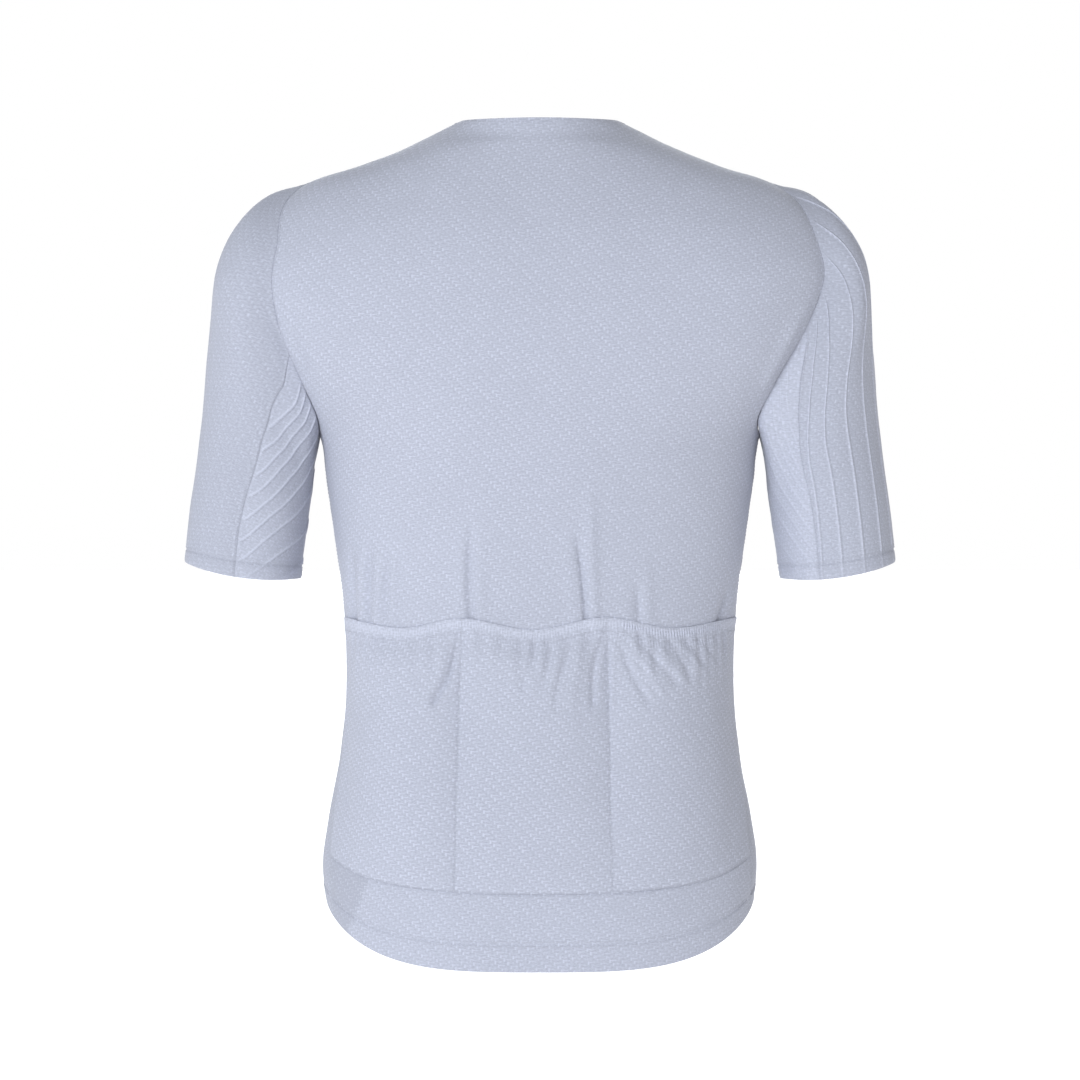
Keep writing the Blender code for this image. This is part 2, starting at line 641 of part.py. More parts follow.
def add_front(name, side, cloth):
    """One front, from hem to neck, ending beside the zip."""
    beside_band = side_run(side, 0.0, side_foot(side)[1], BAND_ROWS)
    run = np.concatenate([beside_band[:-1], body_edge(side, ARMHOLE_FRONT)])
    middle = np.column_stack([side * BODY.turn_at(ZIP_EDGE, FRONT_RISES), FRONT_RISES])
    neck = (side * SHOULDER_SEAM_NECK_TURN, 1.0)
    edge = closed_run(straight(run[0], middle[0], FRONT_HEM_COLUMNS), middle,
                      straight(middle[-1], neck, FRONT_NECK_COLUMNS),
                      straight(neck, run[-1], SHOULDER_COLUMNS), run[::-1])
    return add_panel(name, edge, PANEL_SPACING, (), cloth)


class SleeveForm:
    """The smooth form of one sleeve, which starts as the armhole's own loop."""

    def __init__(self, side):
        self.side = side
        self.table = np.array(SLEEVE_RINGS, float)
        self.stations = np.linspace(0, 1, len(SLEEVE_RINGS))
        back = armhole_run(ARMHOLE_BACK, side, ARM_ROWS)
        front = armhole_run(ARMHOLE_FRONT, side, ARM_ROWS)
        loop = np.concatenate([back, front[-2::-1]])
        points, normals = BODY.point(*loop.T), BODY.normal(*loop.T)
        self.loop = points + LAP * normals
        self.loop_normals = normals
        self.loop_clock = 180 - 360 * path_stations(points)

    def round_armhole(self, clock, values):
        """Read values kept at the armhole's own corners on the straight runs between them."""
        clock = (np.asarray(clock, float) + 180) % 360 - 180
        order = np.argsort(self.loop_clock)
        return np.stack([np.interp(clock, self.loop_clock[order], values[order, axis])
                         for axis in range(3)], axis=-1)

    def meet_corners(self, clock):
        """Move the nearest of these clock angles onto each armhole corner between the ends."""
        clock = clock.copy()
        for corner in np.concatenate([self.loop_clock, self.loop_clock + 360]):
            nearest = np.argmin(np.abs(clock - corner))
            if 0 < nearest < len(clock) - 1:
                clock[nearest] = corner
        return clock

    def tube(self, clock, along):
        """Points of the plain tube; clock 0 is outside, 90 behind and 180 at the armpit."""
        outer_x, outer_z, inner_x, inner_z, half_depth = np.moveaxis(
            smooth(self.stations, self.table, along), -1, 0)
        out, behind = np.cos(np.radians(clock)), np.sin(np.radians(clock))
        square = SLEEVE_SQUARENESS
        reach = (np.abs(out) ** square + np.abs(behind) ** square) ** (-1 / square)
        out, behind = out * reach, behind * reach
        x = (outer_x + inner_x) / 2 + out * (outer_x - inner_x) / 2
        z = (outer_z + inner_z) / 2 + out * (outer_z - inner_z) / 2
        z = z - CUFF_SAG * behind ** 2 * along ** 4
        return np.stack([self.side * x, -half_depth * behind, z], axis=-1)

    def point(self, clock, along):
        """Points of the sleeve at a clock angle and a share of its length."""
        clock, along = np.broadcast_arrays(np.asarray(clock, float), np.asarray(along, float))
        t = np.clip(along / ARMHOLE_REACH, 0, 1)
        fade = (1 - t * t * (3 - 2 * t))[..., None]
        start = self.round_armhole(clock, self.loop) - self.tube(clock, np.zeros(clock.shape))
        return self.tube(clock, along) + fade * start

    def normal(self, clock, along):
        """Unit vectors pointing out of the sleeve."""
        nudge_clock, nudge_along = 2.0, 0.004    # degrees, and a share of the sleeve's length
        clock, along = np.broadcast_arrays(np.asarray(clock, float), np.asarray(along, float))
        low, high = np.maximum(along - nudge_along, 0), np.minimum(along + nudge_along, 1)
        round_it = self.point(clock + nudge_clock, along) - self.point(clock - nudge_clock, along)
        down_it = self.point(clock, high) - self.point(clock, low)
        own = self.side * unit(np.cross(round_it, down_it))
        beside = self.round_armhole(clock, self.loop_normals)
        alike = np.clip(3 * np.sum(own * beside, axis=-1, keepdims=True), 0, 1)
        return np.where(along[..., None] > 0, own, unit((1 - alike) * own + alike * beside))

    def seams(self, along):
        """Clock angles of the back and front seams at a share of the length."""
        rows = np.array(SLEEVE_SEAMS)
        read = smooth(rows[:, 0], rows[:, 1:], along)
        return read[..., 0 if self.side == LEFT else 1], read[..., 2]


def rib_stations(count, valleys):
    """Places across ribs, with the crests marked: feet, crests and, if wanted, the valleys."""
    pitch = 1 / count
    centre = (np.arange(count) + 0.5) * pitch
    foot = RIB_SHARE * pitch / 2
    ends = np.arange(count + 1) * pitch if valleys else np.array([0.0, 1.0])
    places = np.sort(np.concatenate([centre - foot, centre, centre + foot, ends]))
    return places, np.isin(places, centre).astype(float)


def add_sleeve_outer(name, form, cloth):
    """The panel over the arm, with ribs raised on its outside from shoulder to cuff."""
    along = np.linspace(0, 1, SLEEVE_ROWS)[:, None]
    across, crest = rib_stations(OUTER_RIBS, valleys=True)
    back, front = form.seams(along[:, 0])
    first, last = (front - 360 + SLEEVE_SEAM_HALF)[:, None], (back - SLEEVE_SEAM_HALF)[:, None]
    clock = first * (1 - across) + last * across
    clock[0] = form.meet_corners(clock[0])
    points, normals = form.point(clock, along), form.normal(clock, along)
    points = pull_in(points, SLEEVE_HEAD_GAP, ("start",))
    height = RIB_HEIGHT * crest[None, :] * np.minimum(1, along * RIB_HEAD_HOLD)
    raised = points + normals * height[..., None]
    return add_wall(name, raised, points - WALL * normals, cloth)


def add_sleeve_under(name, form, cloth):
    """The panel under the arm, its ribs rising from both seams towards the armpit."""
    down, crest = rib_stations(UNDER_RIBS, valleys=False)
    across = np.linspace(0, 1, UNDER_COLUMNS)[None, :]
    bend = UNDER_RIB_BEND * np.sin(np.pi * across)
    along = (1 - bend) * down[:, None] + bend * down[:, None] ** 3
    rows = np.linspace(0, 1, SLEEVE_ROWS)
    back, front = form.seams(along)
    clock = (back + SLEEVE_SEAM_HALF) * (1 - across) + (front - SLEEVE_SEAM_HALF) * across
    clock[0] = form.meet_corners(clock[0])
    points, normals = form.point(clock, along), form.normal(clock, along)
    back_rows, front_rows = form.seams(rows)
    for column, angle in ((0, back_rows + SLEEVE_SEAM_HALF), (-1, front_rows - SLEEVE_SEAM_HALF)):
        seam = form.point(angle, rows)
        points[:, column] = np.stack([np.interp(down, rows, seam[:, axis]) for axis in range(3)], -1)
    points = pull_in(points, SLEEVE_HEAD_GAP, ("start",))
    inset = (np.minimum(1, np.minimum(across, 1 - across) * RIB_SIDE_HOLD)
             * np.minimum(1, along * RIB_HEAD_HOLD))
    raised = points + normals * (RIB_HEIGHT * crest[:, None] * inset)[..., None]
    return add_wall(name, raised, points - WALL * normals, cloth)


def zip_frame(rise):
    """Place, outward and upward vectors on the centre front at a rise."""
    place = BODY.point(180.0, rise)
    ahead = BODY.point(180.0, min(rise + 0.004, 1.0)) - BODY.point(180.0, rise - 0.004)
    up = unit(ahead)
    return place, np.cross(np.array([1.0, 0.0, 0.0]), up) * -1, up


def rise_below_neck(distance):
    """Rise of the place on the centre front this far below the neck's edge."""
    fine = np.linspace(1, 0.7, 400)
    steps = np.linalg.norm(np.diff(BODY.point(180.0, fine), axis=0), axis=1)
    return float(np.interp(distance, np.concatenate([[0], np.cumsum(steps)]), fine))


def add_zip_tape(name, side, finish):
    """One zip tape: a flat strip behind the front's edge, with the bead of teeth along it."""
    post_foot = ZIP_TOP_MARGIN + SLIDER_POST_INSET + SLIDER_POST_LENGTH
    bead_end = rise_below_neck(post_foot + 2 * SEAM_GAP)
    split_foot = rise_below_neck(post_foot + SEAM_GAP)
    by_slider = [rise_below_neck(distance) for distance in ROWS_BY_SLIDER]
    rise = np.unique(np.concatenate([FRONT_RISES, by_slider, [bead_end, split_foot]]))
    beaded = rise <= bead_end
    under = -(WALL + TAPE_GAP)
    columns = ((SEAM_GAP / 2, 0.0), (ZIP_BEAD_HALF, 0.0),
               (ZIP_BEAD_HALF + BEAD_SLOPE, under), (ZIP_TAPE_HALF, under))
    outer, inner = [], []
    for across, level in columns:
        x = np.where(beaded, across, max(across, ZIP_SPLIT_HALF))
        depth = np.where(beaded, level, under)
        turn = side * BODY.turn_at(x, rise)
        points, normals = BODY.point(turn, rise), BODY.normal(turn, rise)
        outer.append(points + normals * depth[:, None])
        inner.append(points + normals * (under - ZIP_TAPE_WALL))
    return add_wall(name, np.stack(outer, 1), np.stack(inner, 1), finish)


def add_block(name, half_size, centre, finish, parent):
    """A box in the parent's own axes, from its half sizes and centre."""
    mesh = bpy.data.meshes.new(name)
    shape = bmesh.new()
    bmesh.ops.create_cube(shape, size=2.0)
    bmesh.ops.transform(shape, matrix=Matrix.Diagonal(Vector(half_size) * MM).to_4x4(), verts=shape.verts)
    bmesh.ops.translate(shape, vec=Vector(centre) * MM, verts=shape.verts)
    shape.to_mesh(mesh)
    shape.free()
    return add_object(name, mesh, finish, parent)


def add_rod(name, radius, half_length, centre, finish, parent):
    """A rod lying across the jersey, in the parent's own axes."""
    mesh = bpy.data.meshes.new(name)
    shape = bmesh.new()
    bmesh.ops.create_cone(shape, cap_ends=True, segments=ROUND_SIDES, radius1=radius * MM,
                          radius2=radius * MM, depth=2 * half_length * MM)
    bmesh.ops.rotate(shape, cent=(0, 0, 0), matrix=Matrix.Rotation(math.pi / 2, 3, "Y"), verts=shape.verts)
    bmesh.ops.translate(shape, vec=Vector(centre) * MM, verts=shape.verts)
    shape.to_mesh(mesh)
    shape.free()
    return add_object(name, mesh, finish, parent)


def cut_or_join(piece, other, operation):
    """Join another shape to a piece, or cut it away, and keep it as a guide."""
    change = piece.modifiers.new(other.name, "BOOLEAN")
    change.operation = operation
    change.object = other
    other.hide_render = True
    other.display_type = "WIRE"


def zip_empty(name, origin, up, out):
    """An empty whose X runs across, Y points out and Z runs up the zip."""
    frame = bpy.data.objects.new(name, None)
    across = np.cross(out, up)
    frame.matrix_world = Matrix((
        (across[0], out[0], up[0], origin[0] * MM),
        (across[1], out[1], up[1], origin[1] * MM),
        (across[2], out[2], up[2], origin[2] * MM),
        (0, 0, 0, 1)))
    bpy.context.scene.collection.objects.link(frame)
    return frame


PIN_OUT = PLATE_GAP + SLIDER_PLATE + BARREL_RADIUS + SEAM_GAP


def add_slider(frame, metal):
    """The slider: two plates joined by a post, and two lugs with the cross pin."""
    plate_out = PLATE_GAP + SLIDER_PLATE / 2
    plate_in = -(WALL + TAPE_GAP + ZIP_TAPE_WALL + PLATE_GAP + SLIDER_PLATE / 2)
    half = SLIDER_LENGTH / 2
    slider = add_block("zip_slider", (SLIDER_HALF_WIDTH, SLIDER_PLATE / 2, half),
                       (0, plate_out, 0), metal, frame)
    inner_plate = add_block("guide_inner_plate", (SLIDER_HALF_WIDTH, SLIDER_PLATE / 2, half),
                            (0, plate_in, 0), metal, frame)
    post = add_block("guide_post", (SLIDER_POST_HALF, (plate_out - plate_in) / 2, SLIDER_POST_LENGTH / 2),
                     (0, (plate_out + plate_in) / 2, half - SLIDER_POST_INSET - SLIDER_POST_LENGTH / 2),
                     metal, frame)
    shapes = [inner_plate, post]
    lug_x = PULL_HALF_WIDTH + SEAM_GAP + LUG_WALL / 2
    for side, label in ((LEFT, "left"), (RIGHT, "right")):
        shapes.append(add_block(f"guide_lug_{label}", (LUG_WALL / 2, LUG_HEIGHT / 2, LUG_LENGTH / 2),
                                (side * lug_x, PLATE_GAP + SLIDER_PLATE / 2 + LUG_HEIGHT / 2, 0), metal, frame))
    shapes.append(add_rod("guide_pin", PIN_RADIUS, lug_x, (0, PIN_OUT, 0), metal, frame))
    for shape in shapes:
        cut_or_join(slider, shape, "UNION")
    return slider


def add_pull(frame, metal):
    """The pull: a barrel round the slider's pin and a plate that lies on the chest."""
    pull = add_rod("zip_pull", BARREL_RADIUS, PULL_HALF_WIDTH - BARREL_INSET, (0, 0, 0), metal, frame)
    plate = add_block("guide_pull_plate", (PULL_HALF_WIDTH, PULL_WALL / 2, PULL_LENGTH / 2),
                      (0, BARREL_RADIUS - PULL_WALL, -PULL_LENGTH / 2), metal, frame)
    eye = add_rod("guide_pull_eye", EYE_RADIUS, PULL_HALF_WIDTH + 1, (0, 0, 0), metal, frame)
    cut_or_join(pull, plate, "UNION")
    cut_or_join(pull, eye, "DIFFERENCE")
    return pull


def add_zip(finish, metal):
    """Both tapes, the slider and the pull on its hinge."""
    add_zip_tape("zip_tape_left", LEFT, finish)
    add_zip_tape("zip_tape_right", RIGHT, finish)
    place, out, up = zip_frame(rise_below_neck(ZIP_TOP_MARGIN + SLIDER_LENGTH / 2))
    slider_frame = zip_empty("slider_frame", place, up, out)
    add_slider(slider_frame, metal)
    hinge = place + PIN_OUT * out
    hang_up = math.cos(PULL_LEAN) * up - math.sin(PULL_LEAN) * out
    hang_out = math.cos(PULL_LEAN) * out + math.sin(PULL_LEAN) * up
    add_pull(zip_empty("pull_frame", hinge, hang_up, hang_out), metal)


def main():
    """Clear the scene and build every piece of the jersey."""
    for old in list(bpy.data.objects):
        bpy.data.objects.remove(old, do_unlink=True)
    cloth = material("body_cloth", LAVENDER_GREY, 0.8)
    sleeve_cloth = material("sleeve_cloth", RIB_GREY, 0.8)
    tape = material("zip_tape", ZIP_WHITE, 0.6)
    metal = material("zip_metal", PULL_METAL, 0.35, 1.0)
    add_back(cloth)
    add_hem_band(cloth)
    add_pockets(cloth)
    for side, label in ((LEFT, "left"), (RIGHT, "right")):
        add_front(f"front_{label}", side, cloth)
        form = SleeveForm(side)
        add_sleeve_outer(f"sleeve_outer_{label}", form, sleeve_cloth)
        add_sleeve_under(f"sleeve_under_{label}", form, sleeve_cloth)
    add_zip(tape, metal)


if __name__ == "__main__":
    main()
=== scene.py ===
"""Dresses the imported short-sleeved cycling jersey: cloth, sewing, zip, light and camera.

Tables hold millimetres, which become metres when a mesh is made.  The back faces -Y, the
zip faces +Y and +X is on the wearer's right.  A place on the body is a turn in degrees from
centre back and a rise from hem 0 to neck 1; a place on a sleeve is a clock angle, 0 outside
and 90 behind, and a share of the sleeve's length.
"""
from __future__ import annotations

import logging
import math
from dataclasses import dataclass, field
from enum import Enum
from typing import Callable, Sequence

import bpy
import numpy as np
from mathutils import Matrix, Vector
from mathutils.geometry import delaunay_2d_cdt


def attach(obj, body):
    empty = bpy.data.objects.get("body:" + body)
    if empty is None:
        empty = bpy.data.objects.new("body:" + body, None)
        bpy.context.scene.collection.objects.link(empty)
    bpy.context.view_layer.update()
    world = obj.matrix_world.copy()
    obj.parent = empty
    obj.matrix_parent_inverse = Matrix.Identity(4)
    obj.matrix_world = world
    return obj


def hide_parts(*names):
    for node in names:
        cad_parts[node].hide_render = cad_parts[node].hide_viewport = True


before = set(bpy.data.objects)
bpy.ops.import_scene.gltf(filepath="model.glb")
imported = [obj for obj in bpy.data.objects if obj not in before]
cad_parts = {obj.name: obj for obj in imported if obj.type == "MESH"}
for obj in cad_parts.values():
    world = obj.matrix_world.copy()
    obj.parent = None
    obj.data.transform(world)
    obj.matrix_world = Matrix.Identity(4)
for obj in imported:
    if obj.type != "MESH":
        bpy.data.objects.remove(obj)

MM = 0.001
JERSEY = "jersey"                    # the body that all the cloth rides on
CLOTH = 0.9                          # thickness of the cloth
EYE_FAR, EYE_HIGH = 3600.0, -339.0   # distance and height of the eye that creases are laid out for
Array = np.ndarray
LOG = logging.getLogger("jersey")


class Side(Enum):
    """A side of the jersey as seen from behind."""

    LEFT = -1
    RIGHT = 1

    @property
    def word(self) -> str:
        """The side's name in lower case."""
        return self.name.lower()


def read_table(stations: Array, values: Array, at: Array) -> Array:
    """Read a table along a smooth curve: a cubic through each pair of rows, with shared slopes.

    Args:
        stations: Rising places of the rows.
        values: One row of values for each station.
        at: Places to read at.

    Returns:
        Values with one more axis than ``at``.
    """
    stations, values = np.asarray(stations, float), np.asarray(values, float)
    step = np.diff(stations)
    rate = np.diff(values, axis=0) / step[:, None]
    inner = (rate[:-1] * step[1:, None] + rate[1:] * step[:-1, None]) / (step[1:] + step[:-1])[:, None]
    slope = np.vstack([rate[:1], inner, rate[-1:]])
    at = np.clip(np.asarray(at, float), stations[0], stations[-1])
    row = np.clip(np.searchsorted(stations, at, side="right") - 1, 0, len(step) - 1)
    t = ((at - stations[row]) / step[row])[..., None]
    width = step[row][..., None]
    return ((1 + 2 * t) * (1 - t) ** 2 * values[row] + t * (1 - t) ** 2 * width * slope[row]
            + t * t * (3 - 2 * t) * values[row + 1] - t * t * (1 - t) * width * slope[row + 1])


def read_curve(rows: tuple, at: Array) -> Array:
    """Read a table of stations and single values along a smooth curve."""
    stations, values = np.array(rows, float).T
    return read_table(stations, values[:, None], at)[..., 0]


def paired(first: Array, second: Array) -> list[Array]:
    """Two values or arrays as arrays of one shape."""
    return np.broadcast_arrays(np.asarray(first, float), np.asarray(second, float))


def halved(low: Array, high: Array, short: Callable[[Array], Array], halvings: int) -> Array:
    """Where a condition stops to hold between two bounds, by halving the gap.

    Args:
        low: Places where it holds.
        high: Places where it doesn't.
        short: The condition.
        halvings: How many middles are tried.

    Returns:
        The last middles.
    """
    for _ in range(halvings):
        middle = (low + high) / 2
        holds = short(middle)
        low, high = np.where(holds, middle, low), np.where(holds, high, middle)
    return middle


def super_ellipse(across: Array, behind: Array, power: Array) -> Array:
    """How far out a superellipse of half axes 1 lies: the sum of both powers, to minus 1 / power."""
    return (np.abs(across) ** power + np.abs(behind) ** power) ** (-1 / power)


def steps_along(points: Array, axis: int = 0) -> Array:
    """Distance from each place to the next one along an axis."""
    return np.linalg.norm(np.diff(points, axis=axis), axis=-1)


def reach_along(points: Array) -> Array:
    """Distance along each run of points, from 0 at its first row."""
    steps = steps_along(points)
    return np.concatenate([np.zeros((1, *steps.shape[1:])), np.cumsum(steps, axis=0)])


def path_stations(points: Array) -> Array:
    """Distance along a run of points, from 0 to 1."""
    reach = reach_along(points)
    return reach / reach[-1]


def unit(vectors: Array) -> Array:
    """Vectors of length one."""
    return vectors / np.maximum(np.linalg.norm(vectors, axis=-1, keepdims=True), 1e-9)


def bell(distance: Array, half_width: float) -> Array:
    """A soft hump, 1 at no distance: e to the minus square of distance over half width."""
    return np.exp(-(distance / half_width) ** 2)


def ease(value: Array) -> Array:
    """A soft step from 0 to 1: 3 t squared less 2 t cubed."""
    t = np.clip(value, 0, 1)
    return t * t * (3 - 2 * t)


def ripple(places: Array, pitch: float, seed: int) -> Array:
    """Soft uneven waves between about -1 and 1: a sum of sines in seeded directions.

    Args:
        places: Points in two or three coordinates, in millimetres.
        pitch: Mean distance from crest to crest.
        seed: Seed of the directions and starts.

    Returns:
        One value for each point.
    """
    draw = np.random.default_rng(seed)
    total = np.zeros(places.shape[:-1])
    for _ in range(7):
        way = draw.normal(size=places.shape[-1])
        way *= 2 * math.pi / (pitch * draw.uniform(0.7, 1.5)) / np.linalg.norm(way)
        total += np.sin(places @ way + draw.uniform(0, 2 * math.pi))
    return total / 3.5


def ripples(places: Array, seed: int, waves: Sequence[tuple[float, float]]) -> Array:
    """Ripples on top of each other: the sum of each wave's height times a ripple of its pitch."""
    return sum(height * ripple(places, pitch, seed + step) for step, (height, pitch) in enumerate(waves))


@dataclass(frozen=True)
class BodyForm:
    """The smooth body that the back, the fronts and the zip lie on.

    A ring holds half width, side height, back depth and height, front depth and height, and
    squareness.  Round a ring the plan is a superellipse, and the height goes from the side's
    to the middle's with 1 less the fourth power of the sine of the turn.
    """

    rings: tuple = (
        (178.6, -639, 112, -690, 103, -628, 2.3),
        (181.2, -612, 114, -648, 104, -604, 2.3),
        (176.4, -570, 112, -586, 103, -566, 2.3),
        (166.6, -514, 106, -520, 101, -514, 2.3),
        (161.8, -440, 98, -440, 99, -440, 2.3),
        (164.4, -389, 100, -389, 100, -389, 2.3),
        (171.2, -339, 105, -339, 104, -339, 2.3),
        (178.4, -289, 110, -289, 109, -289, 2.3),
        (184.0, -252, 113, -254, 111, -254, 2.3),
        (212.0, -205, 115, -215, 111, -215, 2.4),
        (243.0, -150, 115, -170, 107, -172, 2.4),
        (251.0, -106, 111, -130, 98, -146, 2.4),
        (230.0, -67, 104, -94, 88, -121, 2.4),
        (193.0, -40, 93, -60, 78, -99, 2.3),
        (150.0, -26, 80, -31, 67, -83, 2.2),
        (110.0, -10, 71, -13, 59, -72, 2.1),
        (83.0, 3, 66, -3, 54, -63, 2.0),
        (67.0, 11, 62, 9, 51, -51, 2.0),
    )
    length: float = 790.0
    neck_spread: float = 1.2

    @property
    def table(self) -> Array:
        """The rings as one array."""
        return np.array(self.rings, float)

    @property
    def stations(self) -> Array:
        """Each ring's rise."""
        return path_stations(self.table[:, :4])

    def row(self, rise: Array) -> Array:
        """Ring values at a rise."""
        return read_table(self.stations, self.table, rise)

    def point(self, turn: Array, rise: Array) -> Array:
        """Points of the form.

        Args:
            turn: Degrees from centre back.
            rise: From hem 0 to neck 1.

        Returns:
            Points in millimetres.
        """
        turn, rise = paired(turn, rise)
        half, side_z, back, back_z, front, front_z, square = np.moveaxis(self.row(rise), -1, 0)
        across, behind = np.sin(np.radians(turn)), np.cos(np.radians(turn))
        depth, middle_z = np.where(behind > 0, back, front), np.where(behind > 0, back_z, front_z)
        reach = super_ellipse(across, behind, square)
        height = side_z + (middle_z - side_z) * (1 - across ** 4)
        return np.stack([half * across * reach, -depth * behind * reach, height], axis=-1)

    def normal(self, turn: Array, rise: Array) -> Array:
        """Outward unit vectors, from small steps round and up the form."""
        turn, rise = paired(turn, rise)
        low, high = np.maximum(rise - 0.002, 0), np.minimum(rise + 0.002, 1)
        round_it = self.point(turn + 0.5, rise) - self.point(turn - 0.5, rise)
        return unit(np.cross(round_it, self.point(turn, high) - self.point(turn, low)))

    def surface(self, turn: Array, rise: Array) -> tuple[Array, Array]:
        """Points of the form and its outward unit vectors there."""
        return self.point(turn, rise), self.normal(turn, rise)

    def rise_at(self, turn: Array, height: Array) -> Array:
        """The rise at which the form reaches a height, by halving."""
        turn, height = paired(turn, height)
        return halved(np.zeros(turn.shape), np.ones(turn.shape),
                      lambda rise: self.point(turn, rise)[..., 2] < height, 27)

    def turn_at(self, across: Array, rise: Array) -> Array:
        """The turn near centre front at which the form is this far from the mid-plane."""
        return 180 - np.degrees(np.arcsin(across / self.row(rise)[..., 0]))

    def place_behind(self, x: Array, height: Array) -> Array:
        """Turn and rise of places given as seen from behind, by halving."""
        turn = halved(np.full(len(x), -90.0), np.full(len(x), 90.0),
                      lambda some: self.point(some, self.rise_at(some, height))[:, 0] < x, 20)
        return np.column_stack([turn, self.rise_at(turn, height)])

    def girth(self, rise: Array) -> Array:
        """A mean radius at a rise."""
        return self.row(rise)[..., [0, 2]].mean(axis=-1)

    def cloth_place(self, places: Array) -> Array:
        """Millimetres across and up the cloth of places given as turn and rise.

        Across is the length round the form from centre back, read between the corners of a
        table of turns and rises; up is the length of the centre back to the place's height.
        """
        turns, rises = 120, 80
        grid = np.linspace(0, 180, turns + 1)[:, None], np.linspace(0, 1, rises + 1)
        reach = reach_along(self.point(*grid))
        t, r = np.abs(places[..., 0]) / 180 * turns, places[..., 1] * rises
        i, j = np.minimum(t.astype(int), turns - 1), np.minimum(r.astype(int), rises - 1)
        t, r = t - i, r - j
        across = ((1 - t) * ((1 - r) * reach[i, j] + r * reach[i, j + 1])
                  + t * ((1 - r) * reach[i + 1, j] + r * reach[i + 1, j + 1]))
        middle = self.point(0.0, np.linspace(0, 1, 400))
        height = self.point(*np.moveaxis(places, -1, 0))[..., 2]
        climb = np.interp(height, middle[:, 2], reach_along(middle))
        return np.stack([np.sign(places[..., 0]) * across, climb], axis=-1)

    def lay_flat(self, places: Array) -> Array:
        """Turn and rise laid out flat, spread towards the neck so that points lie closer there."""
        rise = places[..., 1]
        spread = 1 + self.neck_spread * rise ** 8
        return np.stack([np.radians(places[..., 0]) * self.girth(rise) * spread,
                         self.length * (rise + self.neck_spread * rise ** 9 / 9)], axis=-1)

    def pick_up(self, flat: Array) -> Array:
        """Turn and rise of places that are laid out flat."""
        fine = np.linspace(0, 1, 2000)
        rise = np.interp(flat[..., 1], self.length * (fine + self.neck_spread * fine ** 9 / 9), fine)
        radius = self.girth(rise) * (1 + self.neck_spread * rise ** 8)
        return np.stack([np.degrees(flat[..., 0] / radius), rise], axis=-1)


FORM = BodyForm()


@dataclass(frozen=True)
class BodyCut:
    """Where the body's seams run.  Armhole rows are height, turn on the left and on the right."""

    armhole_back: tuple = (
        (-253, 90.0, 90.0), (-250, 80.0, 77.0), (-240, 71.5, 67.0), (-220, 65.0, 62.5),
        (-195, 61.0, 60.5), (-170, 58.5, 60.5), (-145, 57.0, 62.0), (-120, 56.5, 64.0),
        (-96, 58.5, 65.5), (-75, 65.0, 70.0), (-54, 76.0, 79.0), (-41, 88.0, 88.0),
        (-42, 97.0, 97.0))
    armhole_front: tuple = (
        (-253, 90.0, 90.0), (-249, 100.0, 100.0), (-235, 110.0, 110.0), (-212, 117.0, 117.0),
        (-182, 121.0, 121.0), (-150, 123.0, 123.0), (-119, 121.5, 121.5), (-91, 117.5, 117.5),
        (-68, 111.5, 111.5), (-51, 104.5, 104.5), (-42, 97.0, 97.0))
    side_seam: tuple = ((-640, 70), (-560, 72), (-440, 80), (-340, 86), (-256, 90))
    band_seam: tuple = ((-45, -618), (0, -627), (45, -618), (70, -601), (90, -596))
    neck_turn: float = 108.0
    seam_gap: float = 0.04
    zip_edge: float = 4.6
    arm_steps: int = 90
    side_steps: int = 110

    def side_turn(self, height: Array) -> Array:
        """Turn of the side seam at a height."""
        return read_curve(self.side_seam, height)

    def side_run(self, side: Side, from_rise: float, to_rise: float, count: int) -> Array:
        """Turn and rise along a side seam."""
        rise = np.linspace(from_rise, to_rise, count)
        turn = np.full(count, 80.0)
        for _ in range(4):
            turn = self.side_turn(FORM.point(turn, rise)[:, 2])
        return np.column_stack([side.value * turn, rise])

    def armhole_run(self, rows: tuple, side: Side, count: int) -> Array:
        """Turn and rise up one half of an armhole, evenly spaced from armpit to shoulder seam.

        Args:
            rows: The armhole's table.
            side: Which armhole.
            count: How many places.

        Returns:
            Places as rows of turn and rise.
        """
        height, left, right = np.array(rows, float).T
        turn = left if side is Side.LEFT else right
        knots = np.column_stack([side.value * turn, FORM.rise_at(turn, height)])
        fine = read_table(path_stations(FORM.point(*knots.T)), knots, np.linspace(0, 1, 400))
        return read_table(path_stations(FORM.point(*fine.T)), fine, np.linspace(0, 1, count))

    def band_rise(self, turn: Array) -> Array:
        """Rise of the seam between the pockets' foot and the hem band."""
        return FORM.rise_at(turn, read_curve(self.band_seam, np.abs(turn)))

    def side_foot(self, side: Side) -> Array:
        """Where the band's seam meets a side seam."""
        turn = 70.0
        for _ in range(6):
            turn = float(self.side_turn(FORM.point(turn, self.band_rise(turn))[2]))
        return np.array([side.value * turn, float(self.band_rise(turn))])

    def body_edge(self, side: Side, rows: tuple, from_rise: float) -> Array:
        """A body panel's edge: up the side seam, then round its half of the armhole."""
        arm = self.armhole_run(rows, side, self.arm_steps)
        return np.concatenate([self.side_run(side, from_rise, arm[0, 1], self.side_steps)[:-1], arm])

    def neck_corner(self, side: Side) -> Array:
        """Where a shoulder seam meets the neck's edge."""
        return np.array([side.value * self.neck_turn, 1.0])

    def shoulder_run(self, side: Side, count: int = 46) -> Array:
        """The shoulder seam from the armhole to the neck."""
        start = self.armhole_run(self.armhole_back, side, 3)[-1]
        return np.linspace(start, self.neck_corner(side), count)


CUT = BodyCut()


